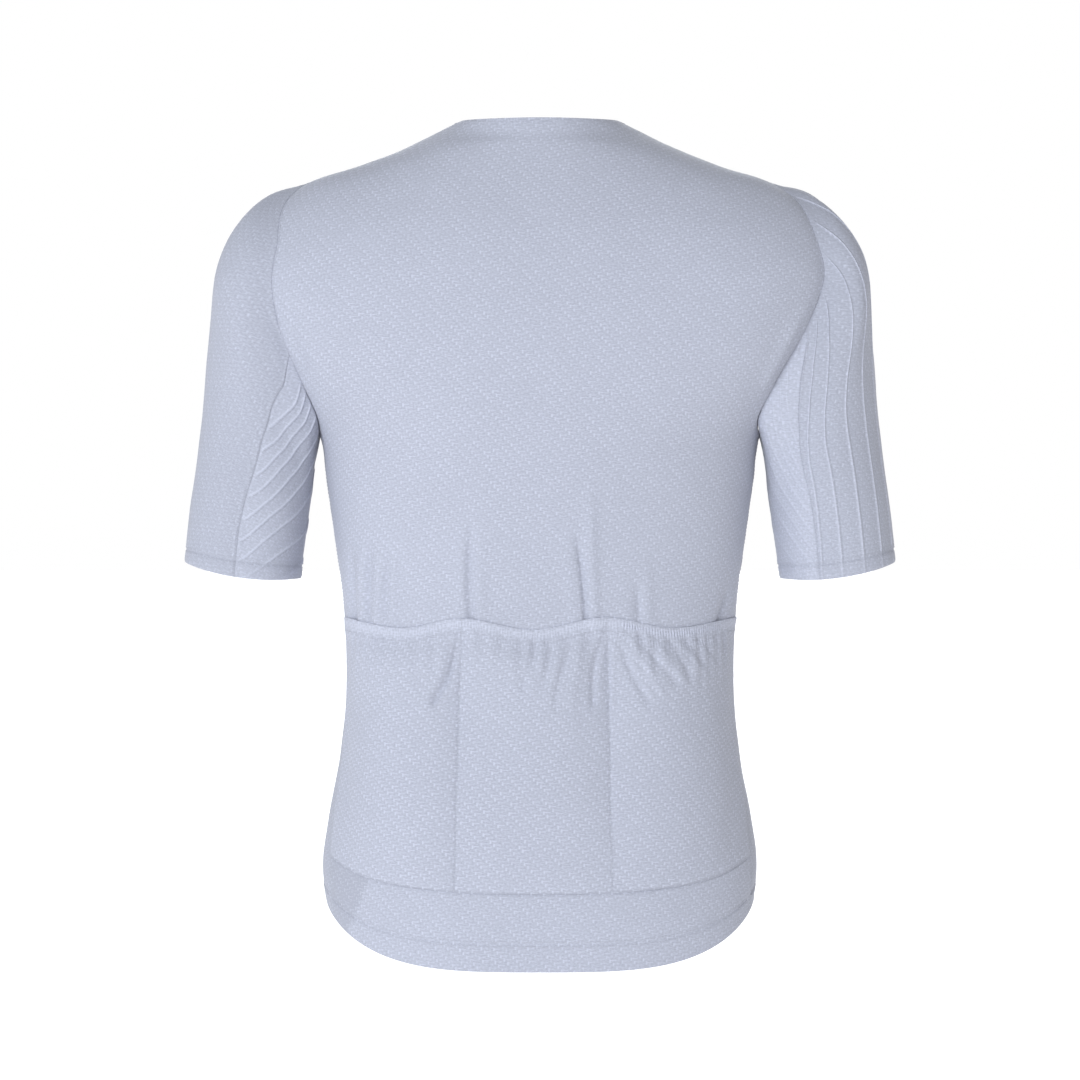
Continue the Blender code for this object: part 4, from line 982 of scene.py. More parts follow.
@dataclass
class PocketPanel:
    """One cloth with three pockets, sewn in at the sides and foot, gathered at its mouths.

    It stands off the back as pouches between the stitch lines: lift = depth * sine of the
    share across a pocket * share up it, both to a power.  Each stitch line holds its x at the
    mouth and at the foot.  Waves hold a height and a pitch, and the pucker also its reach from
    the seams.  Ruffles and crimps hold a height or strength, a distance below the mouth and a
    half width.
    """

    coarse: float = 0.95
    fine: float = 0.6
    ruffled_from: float = 46.0
    rows: int = 96
    top: tuple = ((-162, -403), (-112, -411), (-66, -403), (-6, -412), (54, -402), (108, -411),
                  (162, -403))
    stitches: tuple = ((-64, -70), (54, 58.5))
    rest: float = 0.98
    mouth_close: float = 1.0
    mouth_reach: float = 20.0
    depth: float = 10.0
    side_x: float = 158.0
    roundness: float = 0.8
    filling: float = 0.45
    side_hold: float = 14.0
    foot_hold: float = 6.0
    gathers: int = 30
    gathered_turn: float = 75.0
    gather_height: float = 0.85
    gather_length: float = 40.0
    crease_share: float = 0.66
    waves: tuple = ((0.45, 60.0), (0.14, 26.0))
    pucker: tuple[float, float, float] = (0.35, 11.0, 8.0)
    stitch_dip: float = 0.28
    stitch_half: float = 0.8
    band: float = 11.0
    band_thick: float = 0.3
    band_dip: float = 0.12
    ruffle_pitch: float = 2.4
    ruffles: tuple = ((0.55, 4.5, 3.6), (0.3, 14.0, 3.0))
    crimps: tuple = ((1.0, 4.6, 3.4), (0.5, 14.0, 2.2))
    plain_crimp: float = 0.8
    edge_dip: float = 0.3
    edge_reach: float = 3.2
    seed: int = 41
    band_row: int = 10

    def mouth_height(self, across: Array) -> Array:
        """Height of the top edge."""
        return read_curve(self.top, across)

    def stitch_x(self, share: Array) -> list[Array]:
        """The two stitch lines' distance from the mid-plane, from foot 0 to mouth 1."""
        return [foot + (mouth - foot) * share for mouth, foot in self.stitches]

    def lift(self, points: Array, share: Array) -> Array:
        """How far the three pouches stand out."""
        left, right = self.stitch_x(share)
        across, edge = points[..., 0], self.side_x
        within = np.where(across < left, (across + edge) / (left + edge),
                          np.where(across > right, (across - right) / (edge - right),
                                   (across - left) / (right - left)))
        pouch = np.sin(np.pi * np.clip(within, 0, 1)) ** self.roundness
        below = self.mouth_height(across) - points[..., 2]
        closing = 1 - self.mouth_close * bell(below, self.mouth_reach)
        return self.depth * pouch * np.clip(share, 0, 1) ** self.filling * closing

    def gather(self, turn: Array, points: Array) -> Array:
        """Uneven waves below the elastic, dying away down the pocket, with small ones between."""
        below = np.maximum(self.mouth_height(points[..., 0]) - points[..., 2], 0)
        phase = turn / self.gathered_turn * np.pi * self.gathers / 2
        wave = np.sin(2 * phase + 1.1 * np.sin(phase * 0.37) + 0.8 * np.sin(phase * 0.23 + 1.0))
        strength = 0.7 + 0.3 * np.sin(phase * 0.61 + 2.0)
        small = 0.35 * np.sin(5.3 * phase + 2.1 * np.sin(phase * 0.31))
        small = small * bell(below, self.gather_length / 3)
        held = ease((below - 3.0) / self.band)
        return self.gather_height * held * (wave * strength * bell(below, self.gather_length) + small)

    def places(self) -> tuple[Array, Array, Array]:
        """Turn, rise and share up the panel, rows from foot to mouth."""
        half = self.top[-1][0]
        across = np.concatenate([np.arange(-half, self.ruffled_from, self.coarse),
                                 np.arange(self.ruffled_from, half, self.fine), [half]])
        across = (across / half + 1) / 2
        share = np.concatenate([[0, 0.004, 0.011, 0.02], np.linspace(0.03, 0.93, self.rows - 16),
                                np.linspace(0.935, 1, 12)])[:, None]
        foot = CUT.side_foot(Side.RIGHT)[0]
        mouth_turn = float(CUT.side_turn(self.top[0][1]))
        turn = (2 * across - 1) * (foot + (mouth_turn - foot) * share)
        mouth = FORM.point(turn[-1], FORM.rise_at(turn[-1], self.top[0][1]))
        mouth_rise = FORM.rise_at(turn[-1], self.mouth_height(mouth[:, 0]))
        return turn, CUT.band_rise(turn[0]) * (1 - share) + mouth_rise * share, share

    def sheet(self) -> Sheet:
        """The panel's outside."""
        turn, rise, share = self.places()
        points, normals = FORM.surface(turn, rise)
        cloth = FORM.cloth_place(np.stack([turn, rise], -1))
        span = cloth[:, -1, 0] - cloth[:, 0, 0]
        aside = np.minimum(cloth[..., 0] - cloth[:, :1, 0], cloth[:, -1:, 0] - cloth[..., 0])
        above = np.abs(cloth[..., 1] - cloth[0, :, 1])
        below = np.abs(cloth[-1, :, 1] - cloth[..., 1])
        hold = (np.minimum(1, aside / span[:, None] * self.side_hold)
                * np.minimum(1, share * self.foot_hold))
        lift = self.rest + self.lift(points, share)
        lift += hold * (self.gather(turn, points) + self.crease_share * creased(points, POCKET_CREASES))
        stitched = sum(bell(points[..., 0] - line, self.stitch_half) for line in self.stitch_x(share))
        lift += hold * ripples(points, self.seed, self.waves) - self.stitch_dip * stitched
        height, pitch, reach = self.pucker
        seams = bell(aside, reach) + bell(above, reach)
        lift += height * ripple(points, pitch, self.seed + 2) * seams * ease(np.minimum(aside, above) / 3)
        on_band, under_band = 1 - ease((below - self.band) / 1.2), below - self.band - 1.0
        lift += self.band_thick * on_band - self.band_dip * bell(under_band, 1.0)
        drawn = ease((points[..., 0] - self.ruffled_from) / 14)
        drawn = drawn * ease((self.side_x - 6 - points[..., 0]) / 10)
        uneven = ripple(points, 14.0, self.seed + 3)
        wave = np.sin(2 * np.pi * cloth[..., 0] / self.ruffle_pitch + 0.9 * uneven)
        for height, down, half in self.ruffles:
            lift += height * wave * drawn * bell(below - down, half)
        lift = np.maximum(lift, self.rest)
        lift -= self.edge_dip * (1 - ease(np.minimum(aside, above) / self.edge_reach))
        lift -= self.edge_dip * (1 - ease(below / 1.2))
        lift += np.maximum(creased(points, BACK_CREASES), 0)
        # Darker along the panel's foot and sides, painted shade down the stitch lines' grooves, a little
        # paler on the mouths' band, and a painted shadow under that band.
        mark = -0.5 * (bell(above - 0.6, 0.9) + bell(aside - 0.5, 0.9)) - 0.3 * stitched
        mark = mark + 0.06 * on_band - 0.1 * bell(under_band, 0.9)
        # The crimp sets how strongly the material paints each pleat's highlight and the shade beside it,
        # and how much it bumps.
        crimp = sum(strength * bell(below - down, half) for strength, down, half in self.crimps)
        crimp = (self.plain_crimp + (1 - self.plain_crimp) * drawn) * crimp * ease(aside / 6)
        pleats = cloth[..., 0] / self.ruffle_pitch + 0.45 * uneven
        ribs = np.stack([pleats, np.full(pleats.shape, self.ruffle_pitch), crimp], -1)
        return Sheet.from_grid(points + normals * lift[..., None], normals, cloth, mark, ribs)

    def stitch_rows(self, sheet: Sheet) -> list[tuple[Array, Array]]:
        """Rows of stitches: under the mouths' band, and down both lines between the pockets."""
        points, normals = sheet.grids()
        rows = [(points[-self.band_row], normals[-self.band_row])]
        row = np.arange(len(points))
        for line in self.stitch_x(self.places()[2][:, 0]):
            column = np.sum(points[..., 0] < line[:, None], axis=1) - 1
            near, far = points[row, column], points[row, column + 1]
            share = ((line - near[:, 0]) / (far[:, 0] - near[:, 0]))[:, None]
            rows.append((near + share * (far - near), normals[row, column]))
        return rows


SLEEVE_CREASES = (
    Crease((226, -152), (218, -180), 1.6, -1.1),
    Crease((-229, -150), (-207, -190), 2.2, -0.9),
)


@dataclass
class Sleeve:
    """One sleeve: a ribbed panel over the arm and a ribbed panel under it.

    Waves hold a height and a pitch; puckers and the cuff's waves a third value, their reach
    from the seam or the cuff; a roll holds a height, a distance from the edge and a half width.
    """

    side: Side
    form: SleeveForm
    outer_ribs: int = 10
    rib_shift: float = 0.04
    under_ribs: tuple[float, ...] = (0.42, 0.55, 0.66, 0.75, 0.835, 0.90, 0.955, 1.008, 1.047)
    rib_height: float = 0.75
    rib_half: float = 1.3
    rib_steep: float = 1.9
    rib_power: float = 1.55
    rib_slack: float = 3.08
    rib_start: float = 0.75
    armpit: float = 180.0
    axis: tuple = ((227.0, 0.0, -200.0), (249.0, 0.0, -364.0))
    radius: float = 52.0
    left_ribs: float = 0.15
    right_ribs: float = 0.35
    left_fade: float = 90.0
    right_fade: float = 12.0
    first_rib: tuple[float, float] = (0.5, 0.12)
    left_tuck: float = 0.4
    right_tuck: float = 1.0
    tuck_height: float = -188.0
    tuck_reach: float = 34.0
    behind_ease: float = 20.0
    seam_half: float = 0.05
    seam_dip: float = 0.18
    head_dip: float = 0.6
    foot_dip: float = 0.5
    waves: tuple = ((0.4, 70.0), (0.12, 28.0))
    puckers: tuple[float, float, float] = (0.3, 12.0, 9.0)
    seam_roll: tuple[float, float, float] = (0.3, 2.2, 1.3)
    cuff: float = 9.0
    cuff_stitch: tuple[float, float] = (0.5, 0.9)
    cuff_roll: tuple[float, float, float] = (0.25, 4.0, 3.0)
    cuff_waves: tuple[float, float, float] = (0.3, 16.0, 9.0)
    # The outer panel is painted darker and the under panel paler: painted shade and painted light on one
    # knit.
    outer_painted_shade: float = -0.13
    under_painted_light: float = 0.12
    head_rows: tuple[float, ...] = (0.0, 0.8, 1.8, 3.2, 5.0)
    cuff_rows: tuple[float, ...] = (0.0, 0.6, 1.4, 3.0, 5.5, 7.6, 8.4, 9.0, 9.6, 10.4, 12.0)
    rib_columns: tuple[float, ...] = (-0.5, -0.36, -0.22, -0.13, -0.085, -0.055, -0.028, 0,
                                      0.028, 0.055, 0.085, 0.13, 0.22, 0.36)
    outer_edges: tuple[float, ...] = (0, 0.003, 0.007, 0.014, 0.986, 0.993, 0.997, 1)
    middle_rows: int = 62
    under_rows: int = 130
    under_columns: int = 150

    def lengths(self, clock: Array) -> Array:
        """Length of the sleeve from head to cuff at each clock angle."""
        return steps_along(self.form.point(clock, np.linspace(0, 1, 9)[:, None])).sum(axis=0)

    def rows(self, length: Array, count: int) -> Array:
        """Shares of the length for each column, closer at the head and at the cuff's hem."""
        head = np.array(self.head_rows)[:, None] / length
        cuff = 1 - np.array(self.cuff_rows)[::-1, None] / length
        middle = head[-1] + (cuff[0] - head[-1]) * np.linspace(0, 1, count)[1:-1, None]
        return np.concatenate([head, middle, cuff])

    def finish(self, clock: Array, along: Array, ribs: tuple[Array, Array, Array], room: Array,
               tone: float, seed: int) -> Sheet:
        """Lay a grid of places on the form and shape its cloth.

        Args:
            clock: Clock angles.
            along: Shares of the length.
            ribs: A count that is whole on each rib, millimetres from rib to rib, and strength.
            room: Distance to the nearest lengthwise seam in millimetres.
            tone: How much paler than the plain knit: painted light on the under panel, painted shade on the
                outer.
            seed: Seed of the soft waves.

        Returns:
            The panel's outside.
        """
        points, normals = self.form.point(clock, along), self.form.normal(clock, along)
        length = self.lengths(clock[len(clock) // 2])
        head, foot = along * length, (1 - along) * length
        near, behind = np.minimum(room, head), ease(-points[..., 1] / self.behind_ease)
        dip = self.seam_dip * (1 - ease(near / 1.8)) + self.foot_dip * (1 - ease(foot / 1.6))
        tuck = self.right_tuck if self.side is Side.RIGHT else self.left_tuck
        tuck = tuck * bell(points[..., 2] - self.tuck_height, self.tuck_reach) * behind
        dip = dip + self.head_dip * tuck * (1 - ease(head / 2.0))
        soft = ripples(points, seed, self.waves) * ease(near / 12)
        height, pitch, reach = self.puckers
        soft += height * ripple(points, pitch, seed + 2) * bell(near, reach) * ease(near / 3)
        height, away, half = self.seam_roll
        soft += height * bell(room - away, half)
        soft += creased(points, SLEEVE_CREASES) * ease(near / 2) * behind
        (valley, narrow), (height, away, half) = self.cuff_stitch, self.cuff_roll
        hem = height * bell(foot - away, half) - valley * bell(foot - self.cuff, narrow)
        height, pitch, reach = self.cuff_waves
        hem += height * ripple(points, pitch, seed + 3) * bell(foot - 3.0, reach) * ease(room / 4)
        count, pitch, strength = ribs
        strength = strength * ease(near / 4.0) * (1 - 0.55 * ease((self.cuff + 2 - foot) / 2))
        bead = strength * bell((count - np.round(count)) * pitch, self.rib_half)
        raised = points + normals * (self.rib_height * bead + soft + hem - dip)[..., None]
        # Painted shade in the armhole's tuck; the lengthwise seams and the cuff's stitch line are painted
        # darker too.
        mark = tone - 0.9 * tuck * bell(head, 1.1) - 0.12 * bell(room, 0.9)
        mark = mark - 0.2 * bell(foot - self.cuff, 0.8)
        return Sheet.from_grid(raised, normals, self.cloth_place(points), mark,
                               np.stack([count, pitch, strength], -1))

    def cloth_place(self, points: Array) -> Array:
        """Millimetres round and along the sleeve, from angles and lengths about its axis."""
        flip = np.array([self.side.value, 1.0, 1.0])
        start, end = np.array(self.axis)
        way = (end - start) / math.dist(start, end)
        out = np.cross(way, (0.0, 1.0, 0.0))
        place = points * flip - start
        turn = -self.side.value * np.arctan2(-place[..., 1], place @ out)
        return np.stack([self.radius * turn, -place @ way], -1)

    def spread(self, across: Array, count: int, over: bool) -> tuple[Array, Array, Array, Array]:
        """Lay a panel's columns between its two seams and its rows from head to cuff.

        Args:
            across: Shares of the way from seam to seam.
            count: Rows between those at the head and those at the cuff.
            over: Whether the panel lies over the arm, or under it.

        Returns:
            Clock angles, shares of the length, each column's length and each row's width.
        """
        def ends(along: Array) -> tuple[Array, Array]:
            """Clock angles of the panel's first and last seam."""
            back, front = self.form.seams(along)
            return (front - 360, back) if over else (back, front)

        first, last = ends(np.array(0.5))
        length = self.lengths(first * (1 - across) + last * across)
        along = self.rows(length, count)
        first, last = ends(along)
        clock = (first + self.seam_half) * (1 - across) + (last - self.seam_half) * across
        width = steps_along(self.form.point(clock, along), 1).sum(axis=1, keepdims=True)
        return clock, along, length, width

    def outer(self) -> Sheet:
        """The panel over the arm, its ribs from shoulder to cuff."""
        pitch = 1 / self.outer_ribs
        ribs = (np.arange(self.outer_ribs + 1) + self.rib_shift)[:, None] + self.rib_columns
        beside = 1 - np.arange(0.11, 0.56, 0.03) * pitch
        across = np.unique(np.concatenate([1 - ribs.ravel() * pitch, beside, self.outer_edges]))
        across = across[(across >= 0) & (across <= 1)]
        clock, along, length, width = self.spread(across, self.middle_rows, over=True)
        count = np.broadcast_to((1 - across) * self.outer_ribs, clock.shape)
        first = self.first_rib[0] + (self.first_rib[1] - self.first_rib[0]) * along
        step = np.where(count < 1 + self.rib_shift, 1 + self.rib_shift - first, 1.0)
        count = np.where(count < 1 + self.rib_shift, (count - first) / step, count - self.rib_shift)
        strength = np.where((count > -0.5) & (count < self.outer_ribs - 0.7), 1.0, 0.0)
        fade, plain = self.right_fade, 1.0
        if self.side is Side.LEFT:
            fade, plain = self.left_fade, self.left_ribs
        strength = strength * plain * ease(along * length / fade)
        ribs = (count, width * pitch * step, strength)
        return self.finish(clock, along, ribs, np.minimum(across, 1 - across) * width, self.outer_painted_shade,
                           51 + self.side.value)

    def under_rib(self, share: Array, along: Array) -> Array:
        """Which rib a place of the under panel lies on, as where that rib meets the seam.

        A rib that starts at s on the seam has come up by c (1 - slack (s - start)) at a share
        of the way to the armpit's line, where c is steep times the share to a power; so
        s = (along + c (1 + slack start)) / (1 + slack c).

        Args:
            share: From the seam 0 to the armpit's line 1.
            along: Shares of the sleeve's length.

        Returns:
            Shares of the sleeve's length at the seam.
        """
        climb = self.rib_steep * share ** self.rib_power
        return (along + climb * (1 + self.rib_slack * self.rib_start)) / (1 + self.rib_slack * climb)

    def under(self) -> Sheet:
        """The panel under the arm, its ribs rising from both seams towards the armpit."""
        across = np.concatenate([[0, 0.004, 0.01, 0.018], np.linspace(0.026, 0.974, self.under_columns),
                                 [0.982, 0.99, 0.996, 1]])
        clock, along, _, width = self.spread(across, self.under_rows, over=False)
        back, front = self.form.seams(along)
        pit = (self.armpit - back) / (front - back)
        share = np.clip(np.where(across < pit, across / pit, (1 - across) / (1 - pit)), 0, 1)
        meets = self.under_rib(share, along)
        stops = np.array(self.under_ribs)
        count = np.interp(meets, [stops[0] - 0.5, *stops, stops[-1] + 0.5], np.arange(-1, len(stops) + 1))
        points = self.form.point(clock, along)
        slopes = [np.diff(count, axis=axis) / np.maximum(steps_along(points, axis), 1e-3)
                  for axis in (0, 1)]
        slope = np.hypot(*(np.concatenate([slope, slope.take([-1], axis)], axis)
                           for axis, slope in enumerate(slopes)))
        plain = self.right_ribs if self.side is Side.RIGHT else 1.0
        strength = np.where((count > -0.5) & (count < len(stops) - 0.5), plain, 0.0)
        ribs = (count, 1 / np.maximum(slope, 0.02), strength)
        return self.finish(clock, along, ribs, np.minimum(across, 1 - across) * width, self.under_painted_light,
                           61 + self.side.value)

    @staticmethod
    def stitch_rows(sheet: Sheet) -> list[tuple[Array, Array]]:
        """Two rows round the cuff and one beside each lengthwise seam."""
        points, normals = sheet.grids()
        across = [(points[row], normals[row]) for row in (-6, -10)]
        return across + [(points[:, column], normals[:, column]) for column in (3, -4)]


class Net:
    """Makes one material's nodes."""

    def __init__(self, name: str) -> None:
        """Start a material with only its output."""
        self.material = bpy.data.materials.new(name)
        self.material.use_nodes = True
        self.tree = self.material.node_tree
        self.tree.nodes.clear()
        self.output = self.tree.nodes.new("ShaderNodeOutputMaterial")

    def feed(self, socket: bpy.types.NodeSocket, value: object) -> None:
        """Link a signal or a socket into an input, or set its value."""
        if isinstance(value, Signal):
            value = value.socket
        if isinstance(value, bpy.types.NodeSocket):
            self.tree.links.new(value, socket)
        else:
            socket.default_value = value

    def node(self, kind: str, settings: dict | None = None, inputs: dict | None = None) -> bpy.types.Node:
        """Make a node.

        Args:
            kind: Its type.
            settings: Its own properties.
            inputs: Values, signals or sockets for its inputs, by name or number.

        Returns:
            The node.
        """
        made = self.tree.nodes.new(kind)
        for key, value in (settings or {}).items():
            setattr(made, key, value)
        for key, value in (inputs or {}).items():
            self.feed(made.inputs[key], value)
        return made

    def split(self, vector: bpy.types.NodeSocket) -> list[Signal]:
        """A vector's three values."""
        made = self.node("ShaderNodeSeparateXYZ", inputs={0: vector})
        return [Signal(self, socket) for socket in made.outputs]

    def cloth_place(self) -> tuple[Signal, Signal]:
        """Millimetres across and along the cloth."""
        u, v, _ = self.split(self.node("ShaderNodeUVMap").outputs[0])
        return u / MM, v / MM

    def noise(self, scale: float, detail: float = 2.0) -> Signal:
        """Soft noise from 0 to 1 over the object's own metres."""
        place = self.node("ShaderNodeTexCoord").outputs["Object"]
        made = self.node("ShaderNodeTexNoise", inputs={"Vector": place, "Scale": scale, "Detail": detail})
        return Signal(self, made.outputs["Fac"])

    def cell_noise(self, i: Signal, j: Signal) -> Signal:
        """One draw from 0 to 1 for each pair of whole numbers."""
        place = self.node("ShaderNodeCombineXYZ", inputs={0: i, 1: j})
        made = self.node("ShaderNodeTexWhiteNoise", {"noise_dimensions": "2D"},
                         {"Vector": place.outputs[0]})
        return Signal(self, made.outputs["Value"])

    def mark(self) -> Signal:
        """How much paler or darker the cloth is painted, from its own attribute; much of it is painted
        shade and light.
        """
        return Signal(self, self.node("ShaderNodeAttribute", {"attribute_name": "mark"}).outputs["Fac"])

    def rib_line(self, shift: float, half: float, soft: float) -> Signal:
        """1 on a line beside each rib, so many millimetres to one side, times its strength; it places a
        rib's painted highlight and painted shade.
        """
        read = self.node("ShaderNodeAttribute", {"attribute_name": "ribs"})
        count, pitch, strength = self.split(read.outputs["Vector"])
        aside = ((count + 0.5).fraction() - 0.5) * pitch - shift
        return aside.size().below(half, soft) * strength

    def streaks(self, u: Signal, v: Signal) -> Signal:
        """Uneven short strokes across the cloth, from 0 to 1."""
        place = self.node("ShaderNodeCombineXYZ", inputs={0: u * 0.45, 1: v * 1.2})
        made = self.node("ShaderNodeTexNoise",
                         inputs={"Vector": place.outputs[0], "Scale": 1.0, "Detail": 1.0})
        return Signal(self, made.outputs["Fac"])

    def blend(self, amount: Signal, first: tuple, second: tuple) -> bpy.types.NodeSocket:
        """A colour between two, by an amount from 0 to 1."""
        mix = self.node("ShaderNodeMix", {"data_type": "RGBA"},
                        {"Factor": amount, "A": (*first, 1.0), "B": (*second, 1.0)})
        return mix.outputs["Result"]

    def surface(self, inputs: dict) -> bpy.types.Material:
        """Finish with one surface shader."""
        shader = self.node("ShaderNodeBsdfPrincipled", inputs=inputs)
        self.tree.links.new(shader.outputs[0], self.output.inputs["Surface"])
        return self.material

    def bump(self, height: Signal, strength: float, distance: float) -> bpy.types.NodeSocket:
        """A bumped normal, with the bump's distance in millimetres."""
        made = self.node("ShaderNodeBump", inputs={"Strength": strength, "Distance": distance * MM,
                                                   "Height": height})
        return made.outputs["Normal"]


class Signal:
    """A shader value that takes plain arithmetic."""

    def __init__(self, net: Net, socket: bpy.types.NodeSocket) -> None:
        """Keep the net and the socket that carries the value."""
        self.net, self.socket = net, socket

    def math(self, operation: str, *values: object, clamp: bool = False) -> Signal:
        """One step of arithmetic on the given values."""
        made = self.net.node("ShaderNodeMath", {"operation": operation, "use_clamp": clamp},
                             dict(enumerate(values)))
        return Signal(self.net, made.outputs[0])

    def __add__(self, other: object) -> Signal:
        """Sum."""
        return self.math("ADD", self, other)

    __radd__ = __add__

    def __sub__(self, other: object) -> Signal:
        """Difference."""
        return self.math("SUBTRACT", self, other)

    def __rsub__(self, other: object) -> Signal:
        """Difference from the other side."""
        return self.math("SUBTRACT", other, self)

    def __mul__(self, other: object) -> Signal:
        """Product."""
        return self.math("MULTIPLY", self, other)

    __rmul__ = __mul__

    def __truediv__(self, other: object) -> Signal:
        """Quotient."""
        return self.math("DIVIDE", self, other)

    def __rtruediv__(self, other: object) -> Signal:
        """Quotient from the other side."""
        return self.math("DIVIDE", other, self)

    def floor(self) -> Signal:
        """The whole number below."""
        return self.math("FLOOR", self)

    def fraction(self) -> Signal:
        """What is left above the whole number."""
        return self.math("FRACT", self)

    def size(self) -> Signal:
        """The value without its sign."""
        return self.math("ABSOLUTE", self)

    def below(self, limit: float, soft: float) -> Signal:
        """1 below a limit and 0 above it, over a soft step: (limit + soft - value) / (2 soft)."""
        return self.math("DIVIDE", (limit + soft) - self, 2 * soft, clamp=True)


@dataclass(frozen=True)
class Weave:
    """The knit's lattice of upright dashes and level strokes, in millimetres of the cloth.

    Steps a and b go from one dash to its neighbours.  Bright and level hold a dash's offset
    across and along, its half width and its half height.
    """

    step_a: tuple[float, float] = (4.5, 4.95)
    step_b: tuple[float, float] = (2.85, -2.85)
    bright: tuple[float, float, float, float] = (0.0, 0.0, 0.66, 1.3)
    level: tuple[float, float, float, float] = (3.0, 0.55, 2.25, 0.42)
    soft: float = 0.3
    uneven: float = 0.9

    def dash(self, u: Signal, v: Signal, mark: tuple[float, float, float, float]) -> Signal:
        """1 inside a dash that repeats over the lattice.

        A place is written as i steps of a and j steps of b; what is left of i and j from
        the nearest whole numbers gives the offset from the nearest dash.

        Args:
            u: Across the cloth.
            v: Along the cloth.
            mark: Offset across and along, then half width and half height.

        Returns:
            The dash's mask.
        """
        (ax, ay), (bx, by) = self.step_a, self.step_b
        area = ax * by - bx * ay
        x, y = u - mark[0], v - mark[1]
        i, j = (x * by - y * bx) / area + 0.5, (y * ax - x * ay) / area + 0.5
        draw = u.net.cell_noise(i.floor(), j.floor())
        i, j = i.fraction() - 0.5, j.fraction() - 0.5
        across, along = i * ax + j * bx, i * ay + j * by
        mask = across.size().below(mark[2], self.soft) * along.size().below(mark[3], self.soft)
        return mask * (draw * self.uneven + (1 - self.uneven / 2))


def shaded(colour: Sequence[float], share: float) -> tuple[float, ...]:
    """A colour made darker or paler, up to white."""
    return tuple(min(share * level, 1.0) for level in colour)


@dataclass(frozen=True)
class KnitCloth:
    """The jersey's pale knit: a weave on a plain ground, matt with a faint sheen.

    Tone goes from the dim colour at 0 to the lit colour at 1, and each part adds its share.
    Clouds hold a noise's scale and its share of the tone, grain a scale and its share of the
    height; a rib's painted highlight and the painted shade beside it hold a distance from the
    rib, a half width, a softness and a share.
    """

    name: str
    base: tuple[float, float, float] = (0.381, 0.396, 0.470)
    lit: float = 1.22
    dim: float = 0.84
    ground: float = 0.31
    bright: float = 0.48
    level: float = 0.33
    streaks: float = 1.35
    clouds: tuple[float, float] = (9.0, 0.2)
    grain: tuple[float, float] = (2600.0, 0.5)
    rib_line: tuple[float, float, float, float] = (0.0, 0.75, 0.6, 0.60)
    rib_shade: tuple[float, float, float, float] = (1.7, 0.4, 0.4, 0.32)
    rib_bump: float = 3.0
    strength: float = 1.0
    turned: float = 0.0
    bump: float = 0.10
    ribbed: bool = False
    weave: Weave = Weave()

    def material(self) -> bpy.types.Material:
        """Make the material."""
        net = Net(self.name)
        u, v = net.cloth_place()
        cos, sin = math.cos(self.turned), math.sin(self.turned)
        u, v = u * cos - v * sin, u * sin + v * cos
        bright = self.weave.dash(u, v, self.weave.bright)
        level = self.weave.dash(u, v, self.weave.level)
        (cloud_scale, clouds), (grain_scale, grain) = self.clouds, self.grain
        tone = self.ground + self.strength * (self.bright * bright + self.level * level) + net.mark()
        tone = tone + (net.streaks(u, v) - 0.5) * self.streaks + (net.noise(cloud_scale) - 0.5) * clouds
        height = self.strength * (bright + 0.6 * level) + (net.noise(grain_scale) - 0.5) * grain
        if self.ribbed:
            # Each rib gets a painted highlight along it and a painted shade beside it, as well as a bump.
            (*line, share), (*beside, depth) = self.rib_line, self.rib_shade
            rib = net.rib_line(*line)
            tone = tone + share * rib - depth * net.rib_line(*beside)
            height = height + self.rib_bump * rib
        return net.surface({
            "Base Color": net.blend(tone, shaded(self.base, self.dim), shaded(self.base, self.lit)),
            "Roughness": 0.85, "Specular IOR Level": 0.25, "Sheen Weight": 0.15,
            "Sheen Roughness": 0.5, "Normal": net.bump(height, 0.6, self.bump)})


@dataclass(frozen=True)
class PlainFinish:
    """One even colour, with a little uneven roughness."""

    name: str
    base: tuple[float, float, float]
    roughness: float
    glow: float = 0.0

    def material(self) -> bpy.types.Material:
        """Make the material."""
        net = Net(self.name)
        return net.surface({
            "Base Color": (*self.base, 1.0),
            "Roughness": self.roughness + (net.noise(60.0) - 0.5) * 0.08,
            "Emission Color": (1.0, 1.0, 1.0, 1.0), "Emission Strength": self.glow})


@dataclass(frozen=True)
class TapeWeave:
    """A close woven tape: fine rows across it and threads along it."""

    name: str
    base: tuple[float, float, float]
    dim: float = 0.84
    lit: float = 1.06
    row: float = 0.9
    thread: float = 0.7

    def material(self) -> bpy.types.Material:
        """Make the material."""
        net = Net(self.name)
        x, _, z = net.split(net.node("ShaderNodeTexCoord").outputs["Object"])
        x, z = x / MM, z / MM
        rows = ((z / self.row + (x / self.thread).floor() * 0.5).fraction() - 0.5).size() * 2
        threads = ((x / self.thread).fraction() - 0.5).size() * 2
        height = rows * (1 - threads)
        tone = height + (net.noise(900.0) - 0.5) * 0.6 + 0.3
        return net.surface({
            "Base Color": net.blend(tone, shaded(self.base, self.dim), shaded(self.base, self.lit)),
            "Roughness": 0.8, "Sheen Weight": 0.1, "Normal": net.bump(height, 0.5, 0.12)})


@dataclass(frozen=True)
class LacqueredMetal:
    """Cast metal under satin lacquer, with a faint grain and paler where it is worn."""

    name: str
    base: tuple[float, float, float]
    worn: float = 1.25

    def material(self) -> bpy.types.Material:
        """Make the material."""
        net = Net(self.name)
        return net.surface({
            "Base Color": net.blend(net.noise(420.0, 4.0), self.base, shaded(self.base, self.worn)),
            "Metallic": 0.25,
            "Roughness": 0.42 + (net.noise(700.0) - 0.5) * 0.2, "Coat Weight": 0.3,
            "Coat Roughness": 0.35, "Normal": net.bump(net.noise(1500.0), 0.3, 0.04)})


